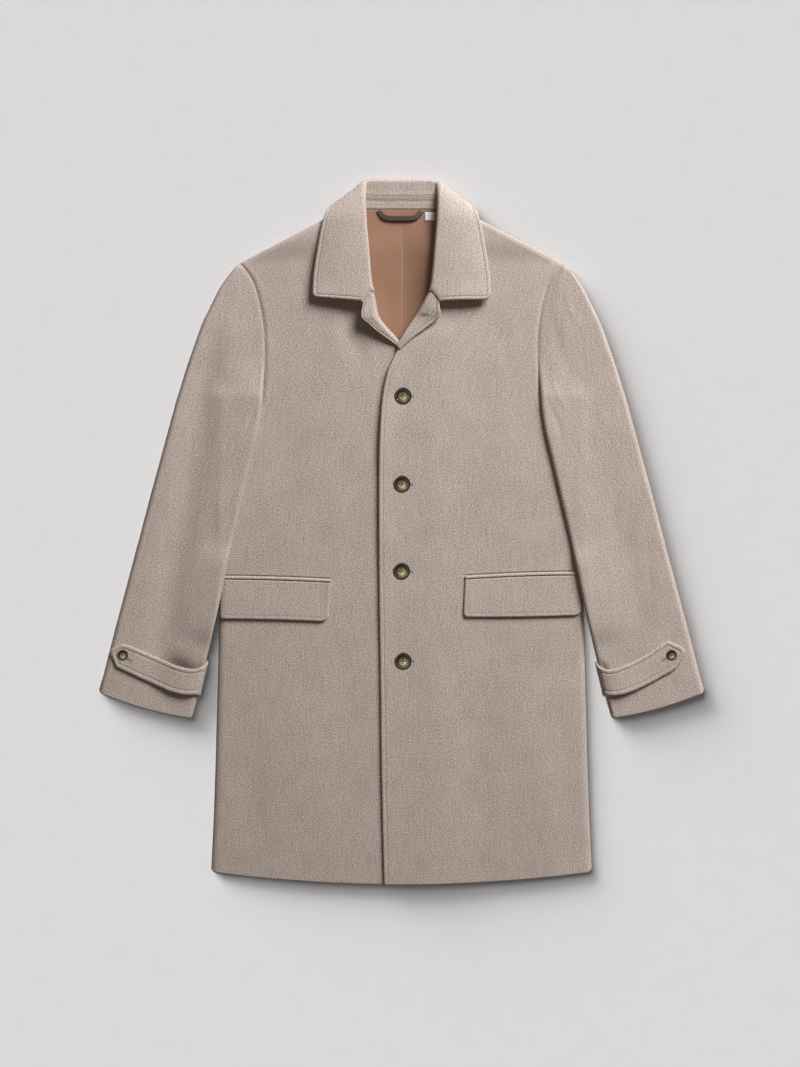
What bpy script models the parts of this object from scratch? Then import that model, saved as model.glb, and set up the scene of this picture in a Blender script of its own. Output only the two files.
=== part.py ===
"""Single-breasted wool overcoat, buttoned and laid out flat on its back.

Metres. +X to the right as seen from above, +Y from the hem to the collar, +Z up.
The origin lies on the surface under the middle of the coat.
Left and right are the wearer's: the left front lies at +X and overlaps the right one.
Every cloth piece is a grid of points on its outer face, given a thickness and closed.
"""
import math
from collections import namedtuple

import bmesh
import bpy
import numpy as np

# Cloth and seams
WOOL = 0.0024           # fronts and lapels
BACK = 0.0022           # back panel
SLEEVE = 0.0022         # both halves of a sleeve
COLLAR = 0.0030         # collar leaf, two plies and interlining
STAND = 0.0020          # collar stand
LINING = 0.0010         # lining shown inside the neck
TRIM = 0.0024           # flaps, straps and welts
SEAM = 0.0003           # space left between sewn pieces
REST = 0.0006           # space between a piece and the one it lies on

# Body
BODY_HALF = 0.27        # half width that the hem's curve is measured on
HEM_Y = -0.5085         # lowest point of the hem
HEM_RISE = 0.0195       # how much higher the hem is at the side seams
HEM_FADE = 0.18         # the hem's curve dies out over this height
SIDE_ROLL = 0.010       # radius of the soft fold at the sides and shoulders
SIDE_FLAT = 0.013       # clear of that fold, for what lies on the front
SIDE_RISE = 0.0055      # height gained over that fold
CROWN = 0.0054          # further height gained toward the middle
CROWN_REACH = 0.080
OVERLAP_RISE = WOOL + 2 * REST
OVERLAP_FLAT = 0.042    # the left front lies raised up to here
OVERLAP_DOWN = 0.085    # and is back down here
OVERLAP_OPEN = (0.272, 0.325)   # the fronts part over these heights
UNDERARM_Y = 0.193      # below here the sleeve lies on the body
ARM_OPEN = (0.040, 0.110)   # the side seam opens into the armhole over these heights
FALL_LIFT = 0.0045      # the back is raised over the collar's fall
FALL_START, FALL_FULL = 0.385, 0.425
LEFT, RIGHT = 1, -1

# Sleeves
SLEEVE_TOP = 0.0140     # height of the sleeve's upper face
SLEEVE_OVER = 0.0038    # the fold stands this high over its lower edge
INNER_ROLL, OUTER_ROLL = 0.009, 0.013
HEAD_ROLL, HEAD_LIP = 0.016, 0.0004     # fold at the sleeve's head, which starts a little open
SEWN_SHARE, RAISED_SHARE = 0.35, 0.55   # share of the width that eases up from the armhole or fold
SLEEVE_RAMP = 0.038     # the under sleeve comes down to the surface over this width
CUFF_BOW, BOW_ROWS = 0.0068, 3  # the cuff's curve, and the rows over which it comes in
FLAP_STACK = 0.0046     # room for the pocket flap under the sleeve
FLAP_BAND = (-0.175, -0.140, -0.050, -0.015)

# Rows of the body, from hem to neck: side or armhole or shoulder, then the front edges
BodyRow = namedtuple("BodyRow", "y outer left_edge right_edge")
BODY_ROWS = (
    BodyRow(-0.5085, 0.2748, -0.0255, -0.0300),
    BodyRow(-0.430, 0.2715, -0.0275, -0.0310),
    BodyRow(-0.330, 0.2683, -0.0295, -0.0320),
    BodyRow(-0.230, 0.2656, -0.0305, -0.0330),
    BodyRow(-0.130, 0.2630, -0.0319, -0.0330),
    BodyRow(-0.010, 0.2588, -0.0330, -0.0330),
    BodyRow(0.075, 0.2558, -0.0330, -0.0330),
    BodyRow(0.117, 0.2500, -0.0324, -0.0325),
    BodyRow(0.150, 0.2260, -0.0312, -0.0320),
    BodyRow(0.172, 0.2085, -0.0298, -0.0300),
    BodyRow(0.193, 0.1995, -0.0280, -0.0285),
    BodyRow(0.229, 0.1973, -0.0208, -0.0220),
    BodyRow(0.256, 0.1963, -0.0090, -0.0080),
    BodyRow(0.284, 0.1970, 0.0055, 0.0165),
    BodyRow(0.306, 0.1994, 0.0190, 0.0330),
    BodyRow(0.327, 0.2033, 0.0310, 0.0390),
    BodyRow(0.359, 0.2124, 0.0465, 0.0465),
    BodyRow(0.377, 0.2236, 0.0525, 0.0525),
    BodyRow(0.388, 0.2325, 0.0555, 0.0555),
    BodyRow(0.420, 0.1711, 0.0640, 0.0640),
    BodyRow(0.452, 0.1097, 0.0755, 0.0755),
    BodyRow(0.463, 0.0884, 0.0830, 0.0830),
)
SHOULDER_TIP = (0.2326, 0.3881)
NECK_POINT = (0.0850, 0.4650)
ROW_STEP = 0.036
ACROSS_FRONT = (0, 0.10, 0.22, 0.35, 0.48, 0.61, 0.73, 0.83, 0.905, 0.955, 0.985, 1)
ACROSS_BACK = (-1, -0.93, -0.75, -0.5, -0.25, 0, 0.25, 0.5, 0.75, 0.93, 1)
BACK_NECK_Y, BACK_NECK_HALF = 0.4690, 0.0770    # top edge of the back, under the collar stand
TIP_MARGIN = 0.001      # rows this close to the shoulder's tip belong to the shoulder
SLOPE_STEP = 0.0005     # distance over which a front's slope is measured

# Soft folds: where a ridge or trough runs, how wide it is and how high
Fold = namedtuple("Fold", "x0 y0 x1 y1 width height")
BODY_FOLDS = {
    LEFT: (
        Fold(0.150, 0.240, 0.120, -0.020, 0.032, 0.0013),
        Fold(0.175, -0.160, 0.190, -0.480, 0.036, 0.0015),
        Fold(0.105, -0.180, 0.100, -0.480, 0.030, -0.0012),
    ),
    RIGHT: (
        Fold(0.160, 0.250, 0.175, 0.020, 0.030, -0.0012),
        Fold(0.130, -0.170, 0.150, -0.480, 0.038, 0.0015),
        Fold(0.215, -0.170, 0.225, -0.470, 0.026, -0.0010),
    ),
}

# Sections of a sleeve from its head to the cuff
SleeveRow = namedtuple("SleeveRow", "inner_x inner_y outer_x outer_y")
SLEEVE_ROWS = (
    SleeveRow(0.2329, 0.388, 0.2430, 0.3845),
    SleeveRow(0.2239, 0.377, 0.2546, 0.3675),
    SleeveRow(0.2127, 0.359, 0.2652, 0.3510),
    SleeveRow(0.2036, 0.327, 0.2770, 0.3230),
    SleeveRow(0.1997, 0.306, 0.2868, 0.3060),
    SleeveRow(0.1973, 0.284, 0.2930, 0.2870),
    SleeveRow(0.1966, 0.256, 0.3017, 0.2620),
    SleeveRow(0.1976, 0.229, 0.3100, 0.2380),
    SleeveRow(0.1998, 0.193, 0.3193, 0.2080),
    SleeveRow(0.2020, 0.172, 0.3249, 0.1900),
    SleeveRow(0.2059, 0.147, 0.3310, 0.1680),
    SleeveRow(0.2170, 0.100, 0.3427, 0.1250),
    SleeveRow(0.2319, 0.036, 0.3593, 0.0640),
    SleeveRow(0.2480, -0.034, 0.3770, -0.0030),
    SleeveRow(0.2620, -0.102, 0.3945, -0.0690),
    SleeveRow(0.2774, -0.168, 0.4118, -0.1340),
    SleeveRow(0.2894, -0.217, 0.4238, -0.1810),
    SleeveRow(0.3012, -0.2662, 0.4356, -0.2300),
)
CUFF_ROW = len(SLEEVE_ROWS) - 1
ROW_SPAN = 0.048        # length of sleeve between its last rows
ATTACHED_ROW, FREE_ROW = 6.0, 8.0   # sewn to the front above, folded on it below
ACROSS_SLEEVE = (0, 0.012, 0.035, 0.075, 0.16, 0.28, 0.42, 0.56, 0.70, 0.82, 0.91, 0.96, 0.988, 1)
ACROSS_UNDER = (0, 0.06, 0.16, 0.28, 0.40, 0.52, 0.64, 0.82, 1)
SleeveFold = namedtuple("SleeveFold", "row0 across0 row1 across1 width height")
SLEEVE_FOLDS = {
    LEFT: (
        SleeveFold(3.0, 0.22, 7.5, 0.30, 0.11, -0.0022),
        SleeveFold(10.0, 0.62, 16.0, 0.52, 0.14, -0.0016),
    ),
    RIGHT: (
        SleeveFold(3.5, 0.52, 15.5, 0.56, 0.13, -0.0032),
        SleeveFold(10.0, 0.22, 13.5, 0.28, 0.09, 0.0012),
    ),
}

# Strap across the cuff: how far across the sleeve, up from the cuff, half width and lift
StrapRow = namedtuple("StrapRow", "across up half lift")
STRAP_ROWS = {
    LEFT: (
        StrapRow(0.000, 0.0545, 0.0200, 0.0014),
        StrapRow(0.012, 0.0518, 0.0195, 0.0018),
        StrapRow(0.040, 0.0489, 0.0186, 0.0026),
        StrapRow(0.085, 0.0469, 0.0181, 0.0040),
        StrapRow(0.160, 0.0464, 0.0179, 0.0046),
        StrapRow(0.260, 0.0478, 0.0182, 0.0038),
        StrapRow(0.400, 0.0510, 0.0185, 0.0020),
        StrapRow(0.520, 0.0546, 0.0190, 0.0011),
        StrapRow(0.640, 0.0592, 0.0199, 0.0009),
        StrapRow(0.720, 0.0618, 0.0206, 0.0008),
        StrapRow(0.765, 0.0630, 0.0200, 0.0008),
        StrapRow(0.800, 0.0622, 0.0168, 0.0008),
        StrapRow(0.840, 0.0617, 0.0125, 0.0008),
        StrapRow(0.875, 0.0612, 0.0080, 0.0008),
        StrapRow(0.905, 0.0602, 0.0030, 0.0008),
    ),
    RIGHT: (
        StrapRow(0.000, 0.0545, 0.0200, 0.0014),
        StrapRow(0.012, 0.0530, 0.0195, 0.0018),
        StrapRow(0.040, 0.0502, 0.0188, 0.0026),
        StrapRow(0.085, 0.0478, 0.0182, 0.0040),
        StrapRow(0.160, 0.0466, 0.0178, 0.0046),
        StrapRow(0.260, 0.0469, 0.0177, 0.0038),
        StrapRow(0.400, 0.0496, 0.0177, 0.0020),
        StrapRow(0.520, 0.0521, 0.0178, 0.0011),
        StrapRow(0.640, 0.0543, 0.0179, 0.0009),
        StrapRow(0.760, 0.0566, 0.0179, 0.0008),
        StrapRow(0.840, 0.0574, 0.0176, 0.0008),
        StrapRow(0.880, 0.0576, 0.0170, 0.0008),
        StrapRow(0.915, 0.0582, 0.0128, 0.0008),
        StrapRow(0.948, 0.0590, 0.0078, 0.0008),
        StrapRow(0.976, 0.0600, 0.0030, 0.0008),
    ),
}
ACROSS_STRAP = (-1, -0.5, 0, 0.5, 1)
SMALL_STEP = 0.004      # share of a row or of the width over which slopes are measured
# share across the sleeve and distance up from the cuff
CUFF_BUTTONS = {LEFT: (0.760, 0.0632), RIGHT: (0.851, 0.0594)}

# Collar sections from the front end to the middle of the back.
# apex: middle of the fold; edge: free edge; turn: how far the leaf has gone round to the back
CollarRow = namedtuple(
    "CollarRow", "apex_x apex_y apex_z edge_x edge_y edge_z turn fold tuck seam_x seam_y seam_z")
COLLAR_ROWS = (
    CollarRow(0.0400, 0.3390, 0.0225, 0.1236, 0.3368, 0.0200, 0, 0.0070, 0.007, 0.0560, 0.3480, 0.0150),
    CollarRow(0.0418, 0.3470, 0.0230, 0.1284, 0.3440, 0.0200, 0, 0.0070, 0.007, 0.0565, 0.3560, 0.0151),
    CollarRow(0.0446, 0.3680, 0.0235, 0.1276, 0.3660, 0.0200, 0, 0.0070, 0.007, 0.0570, 0.3740, 0.0152),
    CollarRow(0.0480, 0.4080, 0.0245, 0.1218, 0.4060, 0.0208, 4, 0.0070, 0.007, 0.0625, 0.4080, 0.0180),
    CollarRow(0.0514, 0.4480, 0.0240, 0.1145, 0.4440, 0.0205, 14, 0.0070, 0.007, 0.0690, 0.4400, 0.0196),
    CollarRow(0.0528, 0.4800, 0.0205, 0.1085, 0.4610, 0.0165, 45, 0.0068, 0.012, 0.0770, 0.4640, 0.0170),
    CollarRow(0.0518, 0.5018, 0.0130, 0.1030, 0.4672, 0.0100, 90, 0.0066, 0.019, 0.0760, 0.4730, 0.0112),
    CollarRow(0.0455, 0.5066, 0.0066, 0.0955, 0.4655, 0.0024, 150, 0.0066, 0.028, 0.0640, 0.4668, 0.0084),
    CollarRow(0.0300, 0.5070, 0.0051, 0.0660, 0.4480, 0.0018, 180, 0.0066, 0.024, 0.0430, 0.4648, 0.0082),
    CollarRow(0.0000, 0.5070, 0.0051, 0.0000, 0.4380, 0.0018, 180, 0.0066, 0.021, 0.0000, 0.4648, 0.0082),
)
LEAF_BULGE = 0.0022
NOTCH_DIP = 0.0062      # the leaf's front end reaches this much lower at the notch
NOTCH_SHARE, NOTCH_FADE = 0.14, 0.92    # where along the leaf the dip is deepest, and where it ends
NOTCH_ROWS = 2          # rows of the table over which the dip fades out
LEAF_STEPS = (0.14, 0.32, 0.52, 0.72, 0.88, 1)
ARC_STEPS = 5
COLLAR_STEPS = 2        # sections made between two rows of the table

# Lapels: the roll line, then the outer edge, then how far the edge stands up
LapelRow = namedtuple("LapelRow", "roll_x roll_y edge_x edge_y rise")
LAPEL_ROWS = {
    LEFT: (
        LapelRow(0.0382, 0.3380, 0.0550, 0.3315, 0.0050),
        LapelRow(0.0330, 0.3290, 0.0562, 0.3180, 0.0052),
        LapelRow(0.0275, 0.3190, 0.0555, 0.3095, 0.0050),
        LapelRow(0.0220, 0.3100, 0.0470, 0.3020, 0.0042),
        LapelRow(0.0150, 0.2995, 0.0330, 0.2913, 0.0032),
        LapelRow(0.0073, 0.2881, 0.0180, 0.2805, 0.0022),
        LapelRow(0.0000, 0.2755, 0.0070, 0.2706, 0.0012),
        LapelRow(-0.0058, 0.2665, -0.0015, 0.2622, 0.0006),
    ),
    RIGHT: (
        LapelRow(0.0396, 0.3382, 0.0554, 0.3325, 0.0060),
        LapelRow(0.0376, 0.3240, 0.0584, 0.3165, 0.0062),
        LapelRow(0.0345, 0.3105, 0.0580, 0.3085, 0.0060),
        LapelRow(0.0297, 0.3028, 0.0495, 0.3002, 0.0050),
        LapelRow(0.0222, 0.2933, 0.0365, 0.2887, 0.0036),
        LapelRow(0.0150, 0.2853, 0.0243, 0.2796, 0.0020),
        LapelRow(0.0090, 0.2783, 0.0138, 0.2723, 0.0010),
    ),
}
ACROSS_LAPEL = (0, 0.08, 0.25, 0.5, 0.75, 1)
LAPEL_ROLL = 0.30       # share of the lapel's width that rises from the roll line

# Pockets, as placed on each front: top corners, depth, slant of the inner end, lower corners' radii
Pocket = namedtuple("Pocket", "inner_x inner_y outer_x outer_y depth slant inner_corner outer_corner")
POCKETS = {
    LEFT: Pocket(0.0912, -0.0683, 0.2588, -0.0625, 0.0545, 0.0025, 0.006, 0.010),
    RIGHT: Pocket(0.1015, -0.0712, 0.2604, -0.0680, 0.0552, 0.0025, 0.007, 0.004),
}
FLAP_STAND = 0.0020     # the flap's lower edge stands off the front
WELT_TALL = 0.0048
FLAP_COLUMNS = (0, 0.012, 0.035, 0.075, 0.2, 0.35, 0.5, 0.65, 0.8, 0.92, 0.965, 1)
FLAP_LEVELS = (0, 0.25, 0.5, 0.75, 0.92, 1)
WELT_LEVELS = (0, 0.5, 1)
WELT_RIDGE = 0.0007

# Buttons and the trimmings in the neck
FRONT_BUTTONS = ((0.0018, 0.1954), (0.0002, 0.0687), (-0.0003, -0.0566), (0.0020, -0.1860))
BUTTON_RADIUS, BUTTON_TALL = 0.0125, 0.0042
CUFF_BUTTON_RADIUS, CUFF_BUTTON_TALL = 0.0080, 0.0034
BUTTON_SHANK = 0.0010   # thread between the cloth and the button
BUTTON_SEGMENTS = 22
WELD = 0.00001          # points closer than this are joined
# share of the radius and of the height, from the middle of the under face to the dish
BUTTON_PROFILE = ((0, 0), (0.62, 0), (0.90, 0.26), (1.0, 0.62), (0.96, 0.88), (0.86, 1.0),
                  (0.75, 0.95), (0.64, 0.70), (0, 0.66))
LINING_HALF, LINING_LOW, LINING_TOP = 0.084, 0.236, 0.4634
LINING_ACROSS = (-1, -0.7, -0.42, -0.20, -0.10, -0.03, 0.0, 0.016, 0.12, 0.4, 0.7, 1)
LINING_STEP = 0.012
PLEAT_HIGH, PLEAT_WIDE, PLEAT_DROP = 0.0013, 0.016, 0.0014
LOOP_PATH = ((-0.0335, 0.4632), (-0.0290, 0.4575), (-0.0235, 0.4530), (-0.0100, 0.4515),
             (0.0060, 0.4515), (0.0185, 0.4528), (0.0245, 0.4570), (0.0288, 0.4630))
LOOP_WIDE, LOOP_THICK, LOOP_BOW = 0.0070, 0.0014, 0.0022
LABEL_CENTRE, LABEL_SIZE = (0.0408, 0.4546), (0.0146, 0.0120, 0.0008)

# Colours, linear
WOOL_COLOUR = (0.386, 0.319, 0.273)
LINING_COLOUR = (0.323, 0.188, 0.119)
HORN_COLOUR = (0.060, 0.048, 0.029)
RIBBON_COLOUR = (0.052, 0.036, 0.022)
LABEL_COLOUR = (0.640, 0.650, 0.690)


def smooth(low, high, at):
    """Soft step from 0 at low to 1 at high."""
    t = np.clip((at - low) / (high - low), 0, 1)
    return t * t * (3 - 2 * t)


def quarter(distance, radius):
    """Quarter of a round fold: 0 with an upright start at the edge, 1 at the radius."""
    t = np.clip(distance / radius, 0, 1)
    return np.sqrt(1 - (1 - t) ** 2)


def column(rows, name):
    return np.array([getattr(row, name) for row in rows])


def refined(stops, longest):
    """The stops with equal steps put in, so that none is much longer than asked."""
    values = [stops[0]]
    for low, high in zip(stops, stops[1:]):
        steps = max(1, round(abs(high - low) / longest + 0.3))
        values += [low + (high - low) * (i + 1) / steps for i in range(steps)]
    return np.array(values)


def ridge(along0, across0, along1, across1, width, along, across):
    """Height 0 to 1 of a soft fold that runs between two points and fades at its ends."""
    t = (along - along0) / (along1 - along0)
    middle = across0 + (across1 - across0) * t
    return np.exp(-((across - middle) / width) ** 2) * np.sin(np.pi * np.clip(t, 0, 1)) ** 2


def lift(y):
    """How far the back is raised over the collar's fall."""
    return FALL_LIFT * smooth(FALL_START, FALL_FULL, y)


def side_line(y):
    """Half width of the body at the side seam, carried on straight above the underarm."""
    rows = [row for row in BODY_ROWS if row.y < ARM_OPEN[1]]
    return np.interp(y, column(rows, "y"), column(rows, "outer"))


def shoulder_distance(x, y):
    """Distance in from the shoulder seam."""
    run, drop = SHOULDER_TIP[0] - NECK_POINT[0], NECK_POINT[1] - SHOULDER_TIP[1]
    length = math.hypot(run, drop)
    return ((SHOULDER_TIP[0] - x) * drop + (SHOULDER_TIP[1] - y) * run) / length


def front_top(side, x, y):
    """Height of a front's outer face; x is the distance toward its side seam."""
    edge = BACK + SEAM + lift(y)
    inward = side_line(y) - x
    closed = 1 - smooth(ARM_OPEN[0], ARM_OPEN[1], y)
    roll = 1 - closed * (1 - quarter(inward, SIDE_ROLL))
    roll = roll * quarter(shoulder_distance(x, y), SIDE_ROLL)
    crown = CROWN * (1 - np.exp(-np.maximum(inward, 0) / CROWN_REACH))
    folds = sum(
        f.height * ridge(f.y0, f.x0, f.y1, f.x1, f.width, y, x) for f in BODY_FOLDS[side])
    top = edge + (SIDE_RISE + crown + folds) * roll
    if side == LEFT:
        top = top + OVERLAP_RISE * (1 - smooth(OVERLAP_FLAT, OVERLAP_DOWN, x)) * (
            1 - smooth(OVERLAP_OPEN[0], OVERLAP_OPEN[1], y))
    return top


def on_front(side, x, y, out):
    """Points on a front's outer face, moved straight out from it."""
    step = SLOPE_STEP
    slope_x = (front_top(side, x + step, y) - front_top(side, x - step, y)) / (2 * step)
    slope_y = (front_top(side, x, y + step) - front_top(side, x, y - step)) / (2 * step)
    long = np.sqrt(1 + slope_x ** 2 + slope_y ** 2)
    points = np.stack([x - out * slope_x / long, y - out * slope_y / long,
                       front_top(side, x, y) + out / long], axis=-1)
    return points * np.array([side, 1, 1])


def hem_curve(x, y):
    """Height that the curved hem adds at the lower rows."""
    return HEM_RISE * (x / BODY_HALF) ** 2 * (1 - smooth(HEM_Y, HEM_Y + HEM_FADE, y))


def sleeve_support(side, x, y):
    """Height of what the sleeve lies on: the front's side, easing down to the surface."""
    inside = np.minimum(x, side_line(y) - SIDE_FLAT)
    flap = smooth(FLAP_BAND[0], FLAP_BAND[1], y) * (1 - smooth(FLAP_BAND[2], FLAP_BAND[3], y))
    over = front_top(side, inside, y) + REST + FLAP_STACK * flap
    outside = np.hypot(np.maximum(x - side_line(y), 0), np.maximum(y - UNDERARM_Y, 0))
    return over * (1 - smooth(0, SLEEVE_RAMP, outside))


def sleeve_plan(row, across):
    """Place on the sleeve, seen from above."""
    at = np.arange(len(SLEEVE_ROWS))
    inner_x, inner_y, outer_x, outer_y = (
        np.interp(row, at, column(SLEEVE_ROWS, name)) for name in SleeveRow._fields)
    bow = CUFF_BOW * 4 * across * (1 - across) * smooth(CUFF_ROW - BOW_ROWS, CUFF_ROW, row)
    x = inner_x + (outer_x - inner_x) * across
    y = inner_y + (outer_y - inner_y) * across - bow
    wide = np.hypot(outer_x - inner_x, outer_y - inner_y)
    return x, y, wide, inner_x, inner_y


def sleeve_top(side, row, across):
    """Points on the sleeve's upper face, by row from head to cuff and share across."""
    x, y, wide, inner_x, inner_y = sleeve_plan(row, across)
    free = smooth(ATTACHED_ROW, FREE_ROW, row)
    sewn = front_top(side, inner_x - SEAM, inner_y)
    base = sleeve_support(side, inner_x, np.minimum(inner_y, UNDERARM_Y)) + SLEEVE + SEAM
    raised = np.maximum(base + SLEEVE_OVER - SLEEVE_TOP, 0)
    level = SLEEVE_TOP + raised * free * (1 - smooth(0, RAISED_SHARE, across))
    for f in SLEEVE_FOLDS[side]:
        level = level + f.height * ridge(f.row0, f.across0, f.row1, f.across1, f.width, row, across)
    level = np.maximum(level, sleeve_support(side, x, y) + 2 * SLEEVE + 2 * REST)
    attached = sewn + (level - sewn) * smooth(0, SEWN_SHARE, across)
    folded = base + (level - base) * quarter(across * wide, INNER_ROLL)
    top = attached + (folded - attached) * free
    low = SLEEVE + SEAM
    rim = quarter((1 - across) * wide, OUTER_ROLL)
    first = SLEEVE_ROWS[0]
    from_head = first.inner_y + (first.outer_y - first.inner_y) * across - y
    head = quarter(from_head + HEAD_LIP, HEAD_ROLL)
    return np.stack([side * x, y, low + (top - low) * rim * head], axis=-1)


def grid_normals(grid):
    """Normals of a grid of points, from its neighbours along and across."""
    along = np.gradient(grid, axis=0)
    across = np.gradient(grid, axis=1)
    normal = np.cross(along, across)
    return normal / np.linalg.norm(normal, axis=-1, keepdims=True)


def closed_wall(name, outer, inner, material):
    """One closed solid between two grids of points of the same size."""
    rows, columns = outer.shape[:2]
    mesh = bpy.data.meshes.new(name)
    bm = bmesh.new()
    top, under = ([[bm.verts.new(p) for p in line] for line in grid] for grid in (outer, inner))
    for i in range(rows - 1):
        for j in range(columns - 1):
            bm.faces.new((top[i][j], top[i + 1][j], top[i + 1][j + 1], top[i][j + 1]))
            bm.faces.new((under[i][j], under[i][j + 1], under[i + 1][j + 1], under[i + 1][j]))
    rim = [(i, 0) for i in range(rows)] + [(rows - 1, j) for j in range(1, columns)]
    rim += [(i, columns - 1) for i in range(rows - 2, -1, -1)] + [(0, j) for j in range(columns - 2, 0, -1)]
    for (i, j), (k, m) in zip(rim, rim[1:] + rim[:1]):
        bm.faces.new((top[k][m], top[i][j], under[i][j], under[k][m]))
    bmesh.ops.recalc_face_normals(bm, faces=bm.faces)
    bm.to_mesh(mesh)
    bm.free()
    mesh.materials.append(material)
    item = bpy.data.objects.new(name, mesh)
    bpy.context.scene.collection.objects.link(item)
    return item


def cloth(name, outer, thickness, material, upright, rolled):
    """A wall of cloth under a grid on its outer face.

    Where upright holds, the wall goes straight down. Where rolled holds, it goes level inward.
    """
    normal = grid_normals(outer)
    if normal[..., 2].mean() < 0:
        normal = -normal
    normal[upright] = (0, 0, 1)
    normal[rolled, 2] = 0
    normal = normal / np.linalg.norm(normal, axis=-1, keepdims=True)
    return closed_wall(name, outer, outer - thickness * normal, material)


def make_material(name, colour, rough):
    material = bpy.data.materials.new(name)
    material.use_nodes = True
    shader = material.node_tree.nodes["Principled BSDF"]
    shader.inputs["Base Color"].default_value = (*colour, 1)
    shader.inputs["Roughness"].default_value = rough
    return material


def make_back(material):
    """Back panel: flat on the surface, raised a little over the collar's fall."""
    rows = refined(column(BODY_ROWS, "y"), ROW_STEP)
    rows[-1] = BACK_NECK_Y
    half = np.interp(rows, column(BODY_ROWS, "y"), column(BODY_ROWS, "outer"))
    half[-1] = BACK_NECK_HALF
    y, across = np.meshgrid(rows, np.array(ACROSS_BACK), indexing="ij")
    x = across * half[:, None]
    outer = np.stack([x, y + hem_curve(x, y), lift(y)], axis=-1)
    inner = outer + np.array([0, 0, BACK])
    return closed_wall("back", outer, inner, material)


def make_front(name, side, edge, material):
    """One front, from its edge or neck to the side seam, armhole and shoulder."""
    rows = refined(column(BODY_ROWS, "y"), ROW_STEP)
    at = column(BODY_ROWS, "y")
    first, last = (np.interp(rows, at, column(BODY_ROWS, key)) for key in (edge, "outer"))
    y, across = np.meshgrid(rows, np.array(ACROSS_FRONT), indexing="ij")
    x = first[:, None] + (last - first)[:, None] * across
    outer = np.stack([side * x, y + hem_curve(x, y), front_top(side, x, y)], axis=-1)
    side_end = across == 1
    armhole = side_end & (y > sum(ARM_OPEN) / 2) & (y < SHOULDER_TIP[1] - TIP_MARGIN)
    return cloth(name, outer, WOOL, material, armhole, side_end & ~armhole)


def make_sleeve(name, side, material):
    """Upper half of a sleeve, from the armhole to the open cuff."""
    stops = np.array([row.inner_y for row in SLEEVE_ROWS])
    fine = refined(stops, ROW_STEP)
    row = np.interp(-fine, -stops, np.arange(len(stops)))
    row, across = np.meshgrid(row, np.array(ACROSS_SLEEVE), indexing="ij")
    sewn = (across == 0) & (row < FREE_ROW) & (row > 0)
    rolled = ((across == 0) | (across == 1) | (row == 0)) & ~sewn
    return cloth(name, sleeve_top(side, row, across), SLEEVE, material, sewn, rolled)


def make_under_sleeve(name, side, material):
    """Lower half of a sleeve: on the surface, and over the body's side next to it."""
    stops = np.array([row.inner_y for row in SLEEVE_ROWS])
    fine = refined(stops, ROW_STEP)
    row = np.interp(-fine, -stops, np.arange(len(stops)))
    row, across = np.meshgrid(row, np.array(ACROSS_UNDER), indexing="ij")
    x, y, _, _, _ = sleeve_plan(row, across)
    outer = np.stack([side * x, y, sleeve_support(side, x, y)], axis=-1)
    return closed_wall(name, outer, outer + np.array([0, 0, SLEEVE]), material)


def make_strap(name, side, material):
    """Pointed strap across the cuff, made on the sleeve's points and moved out."""
    over = np.array(ACROSS_STRAP)[None, :]
    along, up, half, off = (column(STRAP_ROWS[side], key)[:, None] for key in StrapRow._fields)
    row = CUFF_ROW - (up + half * over) / ROW_SPAN
    share = np.broadcast_to(along, row.shape)
    face = sleeve_top(side, row, share)
    lengthwise = sleeve_top(side, row + SMALL_STEP, share) - sleeve_top(side, row - SMALL_STEP, share)
    back_step = np.maximum(share - SMALL_STEP, 0)
    crosswise = sleeve_top(side, row, share + SMALL_STEP) - sleeve_top(side, row, back_step)
    normal = np.cross(lengthwise, crosswise)
    normal = normal / np.linalg.norm(normal, axis=-1, keepdims=True)
    normal = normal * np.sign(normal[..., 2:3].mean())
    inner = face + normal * off[..., None]
    return closed_wall(name, inner + normal * TRIM, inner, material)


def collar_section(row):
    """Frame of one collar section: fold apex, free edge, directions out and up, sizes."""
    apex = np.array([row["apex_x"], row["apex_y"], row["apex_z"]])
    edge = np.array([row["edge_x"], row["edge_y"], row["edge_z"]])
    out = (edge - apex) / np.linalg.norm(edge - apex)
    rise = np.array([0, 0, 1.0]) - out * out[2]
    rise = rise / np.linalg.norm(rise)
    round_ = np.cross(rise, out)
    turn = math.radians(row["turn"])
    return apex, edge, out, math.cos(turn) * rise + math.sin(turn) * round_


def collar_stations():
    """Rows of the collar table with sections put in between, for the left half."""
    at = np.arange(len(COLLAR_ROWS))
    fine = np.linspace(0, at[-1], at[-1] * COLLAR_STEPS + 1)
    columns = {key: np.interp(fine, at, column(COLLAR_ROWS, key)) for key in CollarRow._fields}
    return [{key: values[i] for key, values in columns.items()} for i in range(len(fine))]


def mirrored(half):
    """The left half's sections, then the right half's, in one run round the neck."""
    flipped = half[:-1] * np.array([-1, 1, 1])
    return np.concatenate([half, flipped[::-1]], axis=0)


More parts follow.
